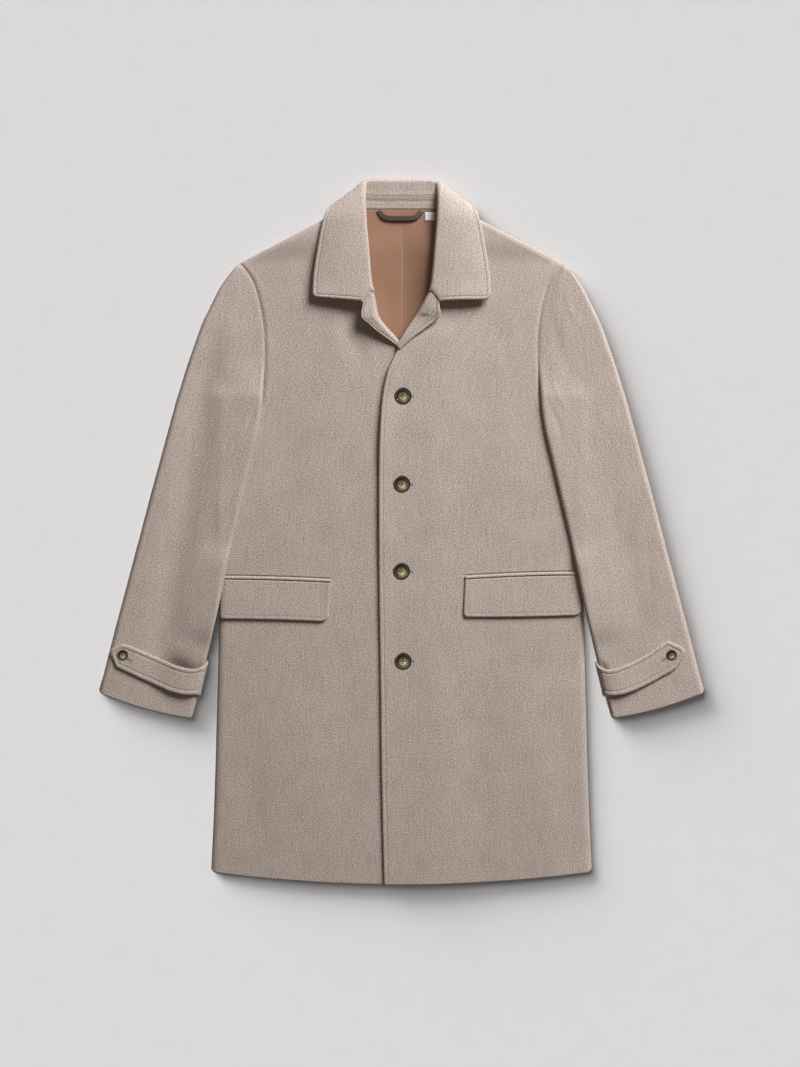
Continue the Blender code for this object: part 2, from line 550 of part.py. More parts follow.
def make_collar(material):
    """Collar leaf: from the stand seam, over the fold and down to the free edge."""
    lines = []
    for number, row in enumerate(collar_stations()):
        apex, edge, out, up = collar_section(row)
        radius = row["fold"] / 2
        centre = apex + out * radius
        line = [apex + out * row["tuck"] - up * radius]
        line.append(apex + out * (row["tuck"] + radius) / 2 - up * radius)
        for angle in np.linspace(-math.pi / 2, math.pi / 2, ARC_STEPS):
            line.append(centre - out * radius * math.cos(angle) + up * radius * math.sin(angle))
        start = line[-1]
        bulge = LEAF_BULGE * max(math.cos(math.radians(row["turn"])), 0)
        dip = NOTCH_DIP * (1 - smooth(0, NOTCH_ROWS, number / COLLAR_STEPS))
        for t in LEAF_STEPS:
            share = max(min(t / NOTCH_SHARE, (NOTCH_FADE - t) / (NOTCH_FADE - NOTCH_SHARE)), 0)
            down = np.array([0, dip * share, 0])
            line.append(start + (edge - start) * t + up * bulge * 4 * t * (1 - t) - down)
        lines.append(line)
    middle = mirrored(np.array(lines))
    normal = grid_normals(middle)
    outer = middle + normal * COLLAR / 2
    return closed_wall("collar_leaf", outer, middle - normal * COLLAR / 2, material)


def make_stand(material):
    """Collar stand: a band between the neck seam and the leaf."""
    lines = []
    for row in collar_stations():
        apex, _, out, up = collar_section(row)
        top = apex + out * (row["tuck"] + 4 * REST) - up * row["fold"] / 2
        foot = np.array([row["seam_x"], row["seam_y"], row["seam_z"]])
        lines.append([foot + (top - foot) * t for t in (0, 0.5, 1)])
    middle = mirrored(np.array(lines))
    normal = grid_normals(middle)
    return closed_wall("collar_stand", middle + normal * STAND / 2, middle - normal * STAND / 2, material)


def make_lapel(name, side, material):
    """Turned-back lapel, resting on the front along its roll line."""
    rows = LAPEL_ROWS[side]
    across = np.array(ACROSS_LAPEL)[None, :]
    x0, y0, x1, y1, rise = (column(rows, key)[:, None] for key in LapelRow._fields)
    x = x0 + (x1 - x0) * across
    y = y0 + (y1 - y0) * across
    out = REST + WOOL + rise * quarter(across, LAPEL_ROLL)
    outer = np.stack([side * x, y, front_top(side, x, y) + out], axis=-1)
    return closed_wall(name, outer, outer - np.array([0, 0, WOOL]), material)


def pocket_grid(side, columns, levels, top, depth):
    """Places on a front for a strip along the pocket line, from its upper edge down."""
    p = POCKETS[side]
    along, down = np.meshgrid(np.array(columns), np.array(levels), indexing="ij")
    x = p.inner_x + (p.outer_x - p.inner_x) * along - p.slant * down * (1 - along) * depth / p.depth
    y = p.inner_y + (p.outer_y - p.inner_y) * along + top - depth * down
    return x, y, along, down


def make_flap(name, side, material):
    """Pocket flap with round lower corners, hanging from under the welt."""
    p = POCKETS[side]
    x, y, along, down = pocket_grid(side, FLAP_COLUMNS, FLAP_LEVELS, 0, p.depth)
    wide = p.outer_x - p.inner_x
    cut = p.inner_corner * (1 - quarter(along * wide, p.inner_corner))
    cut = cut + p.outer_corner * (1 - quarter((1 - along) * wide, p.outer_corner))
    y = y + cut * down
    inner = on_front(side, x, y, REST + FLAP_STAND * down ** 2)
    outer = on_front(side, x, y, REST + FLAP_STAND * down ** 2 + TRIM)
    return closed_wall(name, outer, inner, material)


def make_welt(name, side, material):
    """Narrow welt along the pocket's mouth, just above the flap."""
    x, y, _, down = pocket_grid(side, FLAP_COLUMNS, WELT_LEVELS, WELT_TALL + SEAM, WELT_TALL)
    crest = WELT_RIDGE * (1 - (2 * down - 1) ** 2)
    return closed_wall(name, on_front(side, x, y, REST + TRIM + crest),
                       on_front(side, x, y, REST), material)


def make_button(name, centre, radius, tall, material):
    """Round button with a raised rim and a dished middle, turned from one profile."""
    mesh = bpy.data.meshes.new(name)
    bm = bmesh.new()
    verts = [bm.verts.new((centre[0] + r * radius, centre[1], centre[2] + h * tall))
             for r, h in BUTTON_PROFILE]
    edges = [bm.edges.new(pair) for pair in zip(verts, verts[1:])]
    bmesh.ops.spin(bm, geom=verts + edges, cent=centre, axis=(0, 0, 1), angle=2 * math.pi,
                   steps=BUTTON_SEGMENTS, use_merge=True)
    bmesh.ops.remove_doubles(bm, verts=bm.verts, dist=WELD)
    bmesh.ops.recalc_face_normals(bm, faces=bm.faces)
    bm.to_mesh(mesh)
    bm.free()
    mesh.materials.append(material)
    item = bpy.data.objects.new(name, mesh)
    bpy.context.scene.collection.objects.link(item)
    return item


def lining_top(x, y):
    """Height of the lining inside the neck, with its pleat down the middle."""
    pleat = smooth(-PLEAT_WIDE, 0, x) * (1 - smooth(0, PLEAT_DROP, x))
    return BACK + lift(y) + REST + LINING + PLEAT_HIGH * pleat


def make_lining(material):
    """Lining of the back, as far as the neck opening shows it."""
    rows = refined([LINING_LOW, FALL_START, FALL_FULL, LINING_TOP], LINING_STEP)
    y, across = np.meshgrid(rows, np.array(LINING_ACROSS), indexing="ij")
    x = across * LINING_HALF
    outer = np.stack([x, y, lining_top(x, y)], axis=-1)
    return closed_wall("back_lining", outer, outer - np.array([0, 0, LINING]), material)


def make_loop(material):
    """Ribbon hanger loop, bowed up a little between its sewn ends."""
    path = np.array(LOOP_PATH)
    way = np.gradient(path, axis=0)
    way = way / np.linalg.norm(way, axis=1, keepdims=True)
    cross = np.stack([-way[:, 1], way[:, 0]], axis=1)
    share = np.linspace(0, 1, len(path))[:, None]
    over = np.array([-0.5, 0, 0.5])[None, :]
    x = path[:, :1] + cross[:, :1] * LOOP_WIDE * over
    y = np.minimum(path[:, 1:] + cross[:, 1:] * LOOP_WIDE * over, LINING_TOP)
    z = lining_top(-PLEAT_WIDE, y) + SEAM + LOOP_BOW * np.sin(math.pi * share)
    inner = np.stack([x, y, z], axis=-1)
    return closed_wall("hanger_loop", inner + np.array([0, 0, LOOP_THICK]), inner, material)


def make_label(material):
    """Small blank woven label beside the loop."""
    wide, tall, thick = LABEL_SIZE
    x, y = np.meshgrid(LABEL_CENTRE[0] + np.array([-0.5, 0, 0.5]) * wide,
                       LABEL_CENTRE[1] + np.array([-0.5, 0.5]) * tall, indexing="ij")
    inner = np.stack([x, y, lining_top(x, y) + SEAM], axis=-1)
    return closed_wall("size_label", inner + np.array([0, 0, thick]), inner, material)


for old in list(bpy.data.objects):
    bpy.data.objects.remove(old, do_unlink=True)

wool = make_material("wool", WOOL_COLOUR, 0.9)
lining = make_material("lining", LINING_COLOUR, 0.5)
horn = make_material("horn", HORN_COLOUR, 0.35)
ribbon = make_material("ribbon", RIBBON_COLOUR, 0.6)
white = make_material("label", LABEL_COLOUR, 0.7)

make_back(wool)
make_front("front_right", RIGHT, "right_edge", wool)
make_front("front_left", LEFT, "left_edge", wool)
make_collar(wool)
make_stand(wool)
for side, hand in ((LEFT, "left"), (RIGHT, "right")):
    make_sleeve(f"top_sleeve_{hand}", side, wool)
    make_under_sleeve(f"under_sleeve_{hand}", side, wool)
    make_strap(f"cuff_strap_{hand}", side, wool)
    make_lapel(f"lapel_{hand}", side, wool)
    make_flap(f"pocket_flap_{hand}", side, wool)
    make_welt(f"pocket_welt_{hand}", side, wool)
    across, up = CUFF_BUTTONS[side]
    spot = sleeve_top(side, np.array(CUFF_ROW - up / ROW_SPAN), np.array(across))
    spot[2] += REST + TRIM + BUTTON_SHANK
    make_button(f"cuff_button_{hand}", spot, CUFF_BUTTON_RADIUS, CUFF_BUTTON_TALL, horn)
for number, (x, y) in enumerate(FRONT_BUTTONS, 1):
    height = float(front_top(LEFT, np.array(x), np.array(y))) + BUTTON_SHANK
    make_button(f"front_button_{number}", (x, y, height), BUTTON_RADIUS, BUTTON_TALL, horn)
make_lining(lining)
make_loop(ribbon)
make_label(white)
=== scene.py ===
# %% [markdown]
# # A wool overcoat, buttoned and laid out flat
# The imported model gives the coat's solids, in metres, with +Y from the hem to the collar and +Z up.
# They could be shown as they are, but cloth needs round edges, sewn rows and a weave.
# So each solid is loaded as a fixed frame, and a finer piece of cloth is made on the same form.

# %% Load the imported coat
import math

import bpy
import numpy as np
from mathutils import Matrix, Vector


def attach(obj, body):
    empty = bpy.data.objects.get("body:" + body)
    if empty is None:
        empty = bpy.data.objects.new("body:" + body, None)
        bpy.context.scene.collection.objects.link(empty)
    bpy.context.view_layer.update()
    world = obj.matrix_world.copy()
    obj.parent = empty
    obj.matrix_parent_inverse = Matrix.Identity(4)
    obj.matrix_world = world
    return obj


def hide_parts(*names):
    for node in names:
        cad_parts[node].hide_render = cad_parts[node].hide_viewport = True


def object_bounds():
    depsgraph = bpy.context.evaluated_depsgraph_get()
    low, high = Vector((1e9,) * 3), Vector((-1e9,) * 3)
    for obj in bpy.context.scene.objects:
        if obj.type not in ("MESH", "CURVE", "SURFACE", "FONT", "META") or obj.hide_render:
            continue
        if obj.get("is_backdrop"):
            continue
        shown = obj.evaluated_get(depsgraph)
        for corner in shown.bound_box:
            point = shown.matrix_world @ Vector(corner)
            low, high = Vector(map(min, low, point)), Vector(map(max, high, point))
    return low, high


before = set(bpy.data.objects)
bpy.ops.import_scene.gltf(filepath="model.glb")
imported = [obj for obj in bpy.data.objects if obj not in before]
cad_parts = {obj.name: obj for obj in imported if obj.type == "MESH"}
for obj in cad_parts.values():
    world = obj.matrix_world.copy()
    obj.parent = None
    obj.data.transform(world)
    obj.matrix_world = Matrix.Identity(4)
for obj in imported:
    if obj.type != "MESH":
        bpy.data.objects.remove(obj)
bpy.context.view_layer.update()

# %% [markdown]
# ## Camera
# The coat is seen from straight above. A flat lay is shot with a long lens from far up, so that
# the raised collar isn't drawn larger than the hem. An orthographic camera would do that too, but
# a 100 mm lens keeps a trace of depth. One photograph pixel covers 1.44 mm of the coat.

# %% Camera
MM = 0.001
PIXEL = 1.44 * MM
FRAME_TALL = 1067 * PIXEL
SENSOR, LENS = 36.0, 100.0

camera = bpy.data.objects.new("camera", bpy.data.cameras.new("camera"))
camera.data.sensor_width, camera.data.lens = SENSOR, LENS
camera.data.clip_end = 50
camera.location = (-0.0022, -0.0022, 0.012 + FRAME_TALL * LENS / SENSOR)
bpy.context.scene.collection.objects.link(camera)
bpy.context.scene.camera = camera
bpy.context.scene.view_settings.view_transform = "Standard"
print("camera height:", round(camera.location.z, 3))

# %% [markdown]
# ## Materials
# A finish is a small tree of nodes. Two helpers keep the trees readable: one turns an sRGB hex
# colour into the linear numbers that shaders use, and one adds a node, sets it and links it.


# %% Colour and node helpers
def linear(code):
    """sRGB hex to linear: c / 12.92 below 0.04045, else ((c + 0.055) / 1.055) to the power 2.4."""
    c = np.array([int(code[i:i + 2], 16) / 255 for i in (1, 3, 5)])
    return (*np.where(c <= 0.04045, c / 12.92, ((c + 0.055) / 1.055) ** 2.4).tolist(), 1.0)


def add(tree, kind, settings=(), inputs=(), stops=()):
    """One node: settings are its properties, inputs take a value or a socket, stops go in a ramp."""
    made = tree.nodes.new(kind)
    for key, value in dict(settings).items():
        setattr(made, key, value)
    for key, value in dict(inputs).items():
        if isinstance(value, bpy.types.NodeSocket):
            tree.links.new(value, made.inputs[key])
        else:
            made.inputs[key].default_value = value
    for number, (place, code) in enumerate(stops):
        marks = made.color_ramp.elements
        mark = marks[number] if number < len(marks) else marks.new(place)
        mark.position, mark.color = place, linear(code)
    return made


def new_finish(name):
    """An empty material and its tree, with the shader that Blender puts there."""
    made = bpy.data.materials.new(name)
    made.use_nodes = True
    return made, made.node_tree, made.node_tree.nodes["Principled BSDF"]


print("grey card:", [round(v, 3) for v in linear("#777777")])

# %% [markdown]
# ### Wool
# The coat is cut from a fulled wool twill. Its yarn is spun from light and dark fibres, so up
# close it is full of pale and brown flecks, crossed by fine slanting ridges. Nap hides the ridges
# in patches. Every cloth piece carries a UV map in metres, so one recipe fits all of them and the
# grain turns with a sleeve. It is made twice: the second copy is the same wool painted paler, as
# painted light on the collar's leaf, where more light falls. The real ridges are about 1.5 mm
# apart. They are drawn 3.2 mm apart, since finer ones wouldn't show at 1.5 mm a pixel.

# %% Wool twill
FLECK, RIDGE, CLOUD, STREAK = 1.8 * MM, 3.2 * MM, 45 * MM, 2.2 * MM
# shades from the darkest fibres to the palest; the second set is painted paler, as painted light on the
# collar's leaf
WOOLS = {
    "wool_fulled_twill": ((0.28, "#857362"), (0.45, "#ab9b8f"), (0.56, "#b9aa9f"), (0.73, "#d8ccc1")),
    "wool_twill_painted_lighter": ((0.28, "#8a7866"), (0.45, "#b0a094"), (0.56, "#beafa4"), (0.73, "#dcd0c5")),
}
wools = []
for name, stops in WOOLS.items():
    finish, tree, shader = new_finish(name)
    cloth_uv = add(tree, "ShaderNodeUVMap", {"uv_map": "cloth"}).outputs["UV"]
    flecks = add(tree, "ShaderNodeTexNoise", {"noise_dimensions": "2D"},
                 {"Vector": cloth_uv, "Scale": 1 / FLECK, "Detail": 4.0, "Roughness": 0.62})
    clouds = add(tree, "ShaderNodeTexNoise", {"noise_dimensions": "2D"},
                 {"Vector": cloth_uv, "Scale": 1 / CLOUD, "Detail": 2.0})
    turned = add(tree, "ShaderNodeMapping", inputs={"Vector": cloth_uv, "Scale": (-1, 1, 1)})
    # a wave of scale s repeats every 2 pi / (10 s) along x + y, which is 1.414 ridges
    ridges = add(tree, "ShaderNodeTexWave", {"bands_direction": "DIAGONAL"},
                 {"Vector": turned.outputs["Vector"], "Scale": 2 * math.pi / (14.14 * RIDGE),
                  "Distortion": 1.6, "Detail": 2.0, "Detail Scale": 0.5})
    drawn = add(tree, "ShaderNodeMapping", inputs={"Vector": cloth_uv, "Scale": (1, 0.06, 1)})
    streaks = add(tree, "ShaderNodeTexNoise", {"noise_dimensions": "2D"},
                  {"Vector": drawn.outputs["Vector"], "Scale": 1 / STREAK, "Detail": 1.0})
    # tone = flecks, and a small share of each other pattern about its mean of 0.5
    tone = flecks.outputs["Fac"]
    for source, share in ((ridges, 0.07), (streaks, 0.12), (clouds, 0.07)):
        offset = add(tree, "ShaderNodeMath", {"operation": "MULTIPLY_ADD"},
                     {0: source.outputs["Fac"], 1: share, 2: -share / 2})
        tone = add(tree, "ShaderNodeMath", {"operation": "ADD"},
                   {0: tone, 1: offset.outputs[0]}).outputs[0]
    colour = add(tree, "ShaderNodeValToRGB", inputs={"Fac": tone}, stops=stops)
    nap = add(tree, "ShaderNodeMath", {"operation": "MULTIPLY_ADD"},
              {0: ridges.outputs["Fac"], 1: 0.4, 2: flecks.outputs["Fac"]})
    raised = add(tree, "ShaderNodeBump",
                 inputs={"Strength": 0.3, "Distance": 0.4 * MM, "Height": nap.outputs[0]})
    tree.links.new(colour.outputs["Color"], shader.inputs["Base Color"])
    tree.links.new(raised.outputs["Normal"], shader.inputs["Normal"])
    shader.inputs["Roughness"].default_value = 0.92
    shader.inputs["Sheen Weight"].default_value = 0.12
    shader.inputs["Sheen Roughness"].default_value = 0.45
    wools.append(finish)
wool, lighter_painted_wool = wools
print("wool nodes:", len(tree.nodes))

# %% [markdown]
# ### Lining
# The lining is a fine brown viscose twill: smooth, with a low shine and faint lines along it. Its
# lines are drawn 1.2 mm apart, coarser than the real ones, so that they show at all.

# %% Lining
LINE, SHADE = 1.2 * MM, 60 * MM

lining, tree, shader = new_finish("lining_viscose_twill")
cloth_uv = add(tree, "ShaderNodeUVMap", {"uv_map": "cloth"}).outputs["UV"]
drawn = add(tree, "ShaderNodeMapping", inputs={"Vector": cloth_uv, "Scale": (1, 0.03, 1)})
lines = add(tree, "ShaderNodeTexNoise", {"noise_dimensions": "2D"},
            {"Vector": drawn.outputs["Vector"], "Scale": 1 / LINE, "Detail": 2.0})
soft = add(tree, "ShaderNodeTexNoise", {"noise_dimensions": "2D"},
           {"Vector": cloth_uv, "Scale": 1 / SHADE, "Detail": 1.0})
blend = add(tree, "ShaderNodeMath", {"operation": "MULTIPLY_ADD"},
            {0: lines.outputs["Fac"], 1: 0.3, 2: soft.outputs["Fac"]})
colour = add(tree, "ShaderNodeValToRGB", inputs={"Fac": blend.outputs[0]},
             stops=((0.35, "#926c53"), (0.65, "#966f55"), (0.95, "#9a7359")))
raised = add(tree, "ShaderNodeBump",
             inputs={"Strength": 0.08, "Distance": 0.1 * MM, "Height": lines.outputs["Fac"]})
tree.links.new(colour.outputs["Color"], shader.inputs["Base Color"])
tree.links.new(raised.outputs["Normal"], shader.inputs["Normal"])
shader.inputs["Roughness"].default_value = 0.55
shader.inputs["Sheen Weight"].default_value = 0.1
print("lining nodes:", len(tree.nodes))

# %% [markdown]
# ### Horn
# The buttons are turned from horn and polished. It is dark at the rim, pale in the middle and
# crossed by cloudy growth lines; the pale middle is partly the thin horn and partly a painted
# highlight, set low and right of the middle. The UV map "turned" holds the place on a button as a
# share of its radius, so the distance from a spot beside the middle gives the rings.

# %% Horn
# where the rings are palest: partly the horn's own thin middle, partly a painted highlight
PALE_AND_HIGHLIGHT_SPOT, GROWTH = (0.05, -0.12, 0.0), 7 * MM

horn, tree, shader = new_finish("horn_polished")
spot = add(tree, "ShaderNodeUVMap", {"uv_map": "turned"}).outputs["UV"]
ring = add(tree, "ShaderNodeVectorMath", {"operation": "DISTANCE"}, {0: spot, 1: PALE_AND_HIGHLIGHT_SPOT})
place = add(tree, "ShaderNodeTexCoord").outputs["Object"]
growth = add(tree, "ShaderNodeTexNoise",
             inputs={"Vector": place, "Scale": 1 / GROWTH, "Detail": 4.0, "Distortion": 1.2})
cloudy = add(tree, "ShaderNodeMath", {"operation": "MULTIPLY"}, {0: growth.outputs["Fac"], 1: 0.2})
mixed = add(tree, "ShaderNodeMath", {"operation": "MULTIPLY_ADD"},
            {0: ring.outputs["Value"], 1: 0.8, 2: cloudy.outputs[0]})
# from the pale middle, partly painted highlight, out to the dark rim
colour = add(tree, "ShaderNodeValToRGB", inputs={"Fac": mixed.outputs[0]},
             stops=((0.18, "#dad2a8"), (0.35, "#887f5c"), (0.54, "#483f2d"), (0.78, "#1f170e")))
tree.links.new(colour.outputs["Color"], shader.inputs["Base Color"])
shader.inputs["Roughness"].default_value = 0.32
shader.inputs["IOR"].default_value = 1.55
shader.inputs["Specular IOR Level"].default_value = 0.3
shader.inputs["Coat Weight"].default_value = 0.15
print("horn nodes:", len(tree.nodes))

# %% [markdown]
# ### Ribbon, label and threads
# The hanger loop is ribbed ribbon and the label a white woven tape, left blank. Threads could be
# one plain colour, but their twist catches light. All four are ribs of two shades with a low bump.

# %% Ribbon, label and threads
# dark shade, light shade, distance between ribs, roughness
TRIMS = {
    "ribbon_ribbed": ("#35291d", "#4f3f2d", 0.9 * MM, 0.6),
    "label_woven_tape": ("#d9dbe4", "#eff0f5", 0.7 * MM, 0.6),
    "thread_wool_tone": ("#93847a", "#aa9b90", 0.4 * MM, 0.7),
    "thread_button": ("#35301f", "#574e36", 0.4 * MM, 0.6),
}
trim = {}
for name, (dark, light, pitch, rough) in TRIMS.items():
    trim[name], tree, shader = new_finish(name)
    place = add(tree, "ShaderNodeTexCoord").outputs["Object"]
    # a wave of scale s repeats every 2 pi / (20 s) along x
    ribs = add(tree, "ShaderNodeTexWave", {"bands_direction": "X"},
               {"Vector": place, "Scale": 2 * math.pi / (20 * pitch), "Distortion": 0.8})
    colour = add(tree, "ShaderNodeValToRGB", inputs={"Fac": ribs.outputs["Fac"]},
                 stops=((0.1, dark), (0.9, light)))
    raised = add(tree, "ShaderNodeBump",
                 inputs={"Strength": 0.5, "Distance": 0.1 * MM, "Height": ribs.outputs["Fac"]})
    tree.links.new(colour.outputs["Color"], shader.inputs["Base Color"])
    tree.links.new(raised.outputs["Normal"], shader.inputs["Normal"])
    shader.inputs["Roughness"].default_value = rough
print("trims:", sorted(trim))

# %% [markdown]
# ## Shared shapes
# All cloth here is worked out from a few curves: a soft step, a quarter of a round fold, a smooth
# line through a table of measured places, and a long soft crease. They take whole arrays, so a
# panel of thousands of points is one call.


# %% Curves
def smooth(low, high, at):
    """Soft step, t t (3 - 2 t), from 0 at low to 1 at high."""
    t = np.clip((at - low) / (high - low), 0, 1)
    return t * t * (3 - 2 * t)


def quarter(distance, radius):
    """Quarter circle: height 0 with an upright start at the edge, 1 at the radius."""
    t = np.clip(distance / radius, 0, 1)
    return np.sqrt(1 - (1 - t) ** 2)


def bell(distance, width):
    """Bell curve, e to the power of minus the squared share of the width: 1 in the middle."""
    return np.exp(-(distance / width) ** 2)


def curve(at, knots, values):
    """Cubic through a table; a knot's slope is the harmonic mean of the two spans beside it."""
    knots, values = np.asarray(knots, float), np.asarray(values, float)
    rise = np.diff(values) / np.diff(knots)
    product, total = rise[1:] * rise[:-1], rise[1:] + rise[:-1]
    inner = np.where(product > 0, 2 * product / np.where(product > 0, total, 1), 0)
    slope = np.concatenate([rise[:1], inner, rise[-1:]])
    i = np.clip(np.searchsorted(knots, at, side="right") - 1, 0, len(knots) - 2)
    span = knots[i + 1] - knots[i]
    s = np.clip((at - knots[i]) / span, 0, 1)
    return (values[i] * (1 + 2 * s) * (1 - s) ** 2 + values[i + 1] * s * s * (3 - 2 * s)
            + span * (slope[i] * s * (1 - s) ** 2 - slope[i + 1] * s * s * (1 - s)))


def crease(table, along, across):
    """Sum of soft folds: a bell across each line, times sin squared along it, times its height."""
    total = 0
    for along0, across0, along1, across1, width, height in table:
        t = (along - along0) / (along1 - along0)
        middle = across0 + (across1 - across0) * t
        total = total + height * bell(across - middle, width) * np.sin(np.pi * np.clip(t, 0, 1)) ** 2
    return total


def nearer(a, b, blend=1.2 * MM):
    """Soft minimum of two distances: minus the log of the sum of their exponentials."""
    return -blend * np.log(np.exp(-a / blend) + np.exp(-b / blend))


print("quarter fold:", np.round(quarter(np.linspace(0, 1, 5), 1), 2))

# %% [markdown]
# ## Edges
# A cut edge of thick wool is turned in, pressed and topstitched. So the face sinks to a round lip
# at the edge, swells to a bead and dips at the row of stitches. Flaps and lapels have the same
# edge, but pressed harder or sewn closer, so the row's distance and its depth can be given.

# %% Edges
STITCH_IN = 6.3 * MM
BEAD, DIP, DIP_WIDE = 0.30 * MM, 0.55 * MM, 0.80 * MM


def edge_roll(distance, thick):
    """How far the face sinks near a cut edge: 0.9 thick at the edge, by a quarter circle to none."""
    return -0.9 * thick * (1 - quarter(distance, 0.9 * thick))


def topstitched(distance, thick, inset=STITCH_IN, share=1.0):
    """A rounded edge, a bead as half a sine wave up to the stitches, and a bell-shaped dip there."""
    bead = BEAD * np.sin(np.pi * np.clip(distance / inset, 0, 1))
    return edge_roll(distance, thick) + share * (bead - DIP * bell(distance - inset, DIP_WIDE))


print("edge 0 to 8 mm:", np.round(1000 * topstitched(np.arange(0, 9) * MM, 2.4 * MM), 2))

# %% [markdown]
# ## From a grid to a piece of cloth
# A piece starts as a grid of points on its outer face. The inner face is the same grid moved in by
# the cloth's thickness, and a strip joins the two round the rim. Solidify would do this as well,
# but two grids leave each edge free to sink and swell. The UV map follows the cloth's own lengths.


# %% Closed pieces
def unit(v):
    """Vectors divided by their own lengths."""
    return v / np.maximum(np.linalg.norm(v, axis=-1, keepdims=True), 1e-12)


def normals(grid, seen=np.s_[:, :]):
    """Cross product of the grid's two gradients, made one unit long. On the part of the grid that
    is given they face up on the whole."""
    n = unit(np.cross(np.gradient(grid, axis=0), np.gradient(grid, axis=1)))
    return n if n[seen][..., 2].mean() > 0 else -n


def grain(grid):
    """UV in metres: running length along the grid's two ways, u toward +x and v toward +y."""
    lengths = []
    for lines, middle in ((grid, grid.shape[1] // 2), (np.swapaxes(grid, 0, 1), grid.shape[0] // 2)):
        steps = np.linalg.norm(np.diff(lines, axis=1), axis=-1)
        run = np.concatenate([np.zeros((len(lines), 1)), np.cumsum(steps, axis=1)], axis=1)
        lengths.append(run - run[:, middle:middle + 1])
    ways = [(grid[:, -1] - grid[:, 0]).mean(axis=0), (grid[-1] - grid[0]).mean(axis=0)]
    pair = [lengths[0], lengths[1].T]
    if abs(ways[0][0]) < abs(ways[0][1]):
        ways, pair = ways[::-1], pair[::-1]
    return np.stack([pair[0] * np.sign(ways[0][0]), pair[1] * np.sign(ways[1][1])], axis=-1)


def mesh_piece(name, points, faces, finish, uv=None, uv_name="cloth"):
    """An object from arrays of points and faces, turned outward by the sign of its volume."""
    first = points[faces[:, 0]]
    volume = (first * np.cross(points[faces[:, 1]], points[faces[:, 2]])).sum()
    volume += (first * np.cross(points[faces[:, 2]], points[faces[:, -1]])).sum()
    if volume < 0:
        faces = faces[:, ::-1]
    mesh = bpy.data.meshes.new(name)
    mesh.from_pydata(points.tolist(), [], faces.tolist())
    if uv is not None:
        corner = np.empty(len(mesh.loops), int)
        mesh.loops.foreach_get("vertex_index", corner)
        mesh.uv_layers.new(name=uv_name).uv.foreach_set("vector", uv[corner].ravel())
    mesh.shade_smooth()
    mesh.materials.append(finish)
    made = bpy.data.objects.new(name, mesh)
    bpy.context.scene.collection.objects.link(made)
    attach(made, "root")
    return made


def rim_of(index):
    """Indices round a grid's border, once, in order."""
    return np.concatenate([index[:-1, 0], index[-1, :-1], index[:0:-1, -1], index[0, :0:-1]])


def quads(index):
    """The four corners of every cell of a grid of indices."""
    corners = (index[:-1, :-1], index[1:, :-1], index[1:, 1:], index[:-1, 1:])
    return np.stack(corners, axis=-1).reshape(-1, 4)


cloths, faces_of, areas = {}, {}, {}    # by node: the object, its outer grid and its area


def cloth_piece(node, outer, inner, finish, uv=None):
    """A closed shell between two grids, which stands for the solid of the same name."""
    top = np.arange(outer[..., 0].size).reshape(outer.shape[:2])
    low = top + top.size
    a, b = rim_of(top), rim_of(low)
    rim = np.stack([np.roll(a, -1), a, b, np.roll(b, -1)], axis=-1)
    faces = np.concatenate([quads(top), quads(low)[:, ::-1], rim])
    points = np.concatenate([outer.reshape(-1, 3), inner.reshape(-1, 3)])
    uv = grain(outer) if uv is None else uv
    made = mesh_piece(f"{node}_cloth", points, faces, finish, np.tile(uv.reshape(-1, 2), (2, 1)))
    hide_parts(node)
    face = outer.reshape(-1, 3)[quads(top)]
    cross = np.cross(face[:, 2] - face[:, 0], face[:, 3] - face[:, 1])
    area = 0.5 * np.linalg.norm(cross, axis=-1).sum()
    cloths[node], faces_of[node], areas[node] = made, outer, float(area)
    print(f"{made.name}: {2 * len(faces)} triangles, {area:.4f} square metres of cloth")


# %% [markdown]
# ## The body's form
# The coat is a flat tube: a back on the table and two fronts over it, joined at soft side folds.
# The table gives half the width at each height, and where each front's edge runs. The left front
# lies over the right one, up to where both open into lapels.

# %% Body form
WOOL, BACK, SLEEVE, COLLAR, STAND, TRIM = 2.4 * MM, 2.2 * MM, 2.2 * MM, 3.0 * MM, 2.0 * MM, 2.4 * MM
SEAM, REST = 0.3 * MM, 0.6 * MM
HEM_Y, HEM_RISE, HEM_FADE, HEM_HALF = -0.5085, 0.0170, 0.18, 0.27
HEM_CORNER, CORNER_FADE = 0.007, 0.012
SIDE_ROLL, SHOULDER_ROLL, SIDE_FLAT, SIDE_RISE = 0.010, 0.006, 0.013, 0.0055
CROWN, CROWN_REACH = 0.0054, 0.080
SHOULDER_TIP, NECK_POINT, SHOULDER_FROM = (0.2326, 0.3881), (0.0850, 0.4650), 0.37
ARM_OPEN, LAP_ACROSS, LAP_UP = (0.040, 0.110), (0.036, 0.130), (0.272, 0.325)
FALL_RAISE, FALL_FROM, FALL_TO = 0.0045, 0.385, 0.425
LEFT, RIGHT = 1, -1
HANDS = (("left", LEFT), ("right", RIGHT))
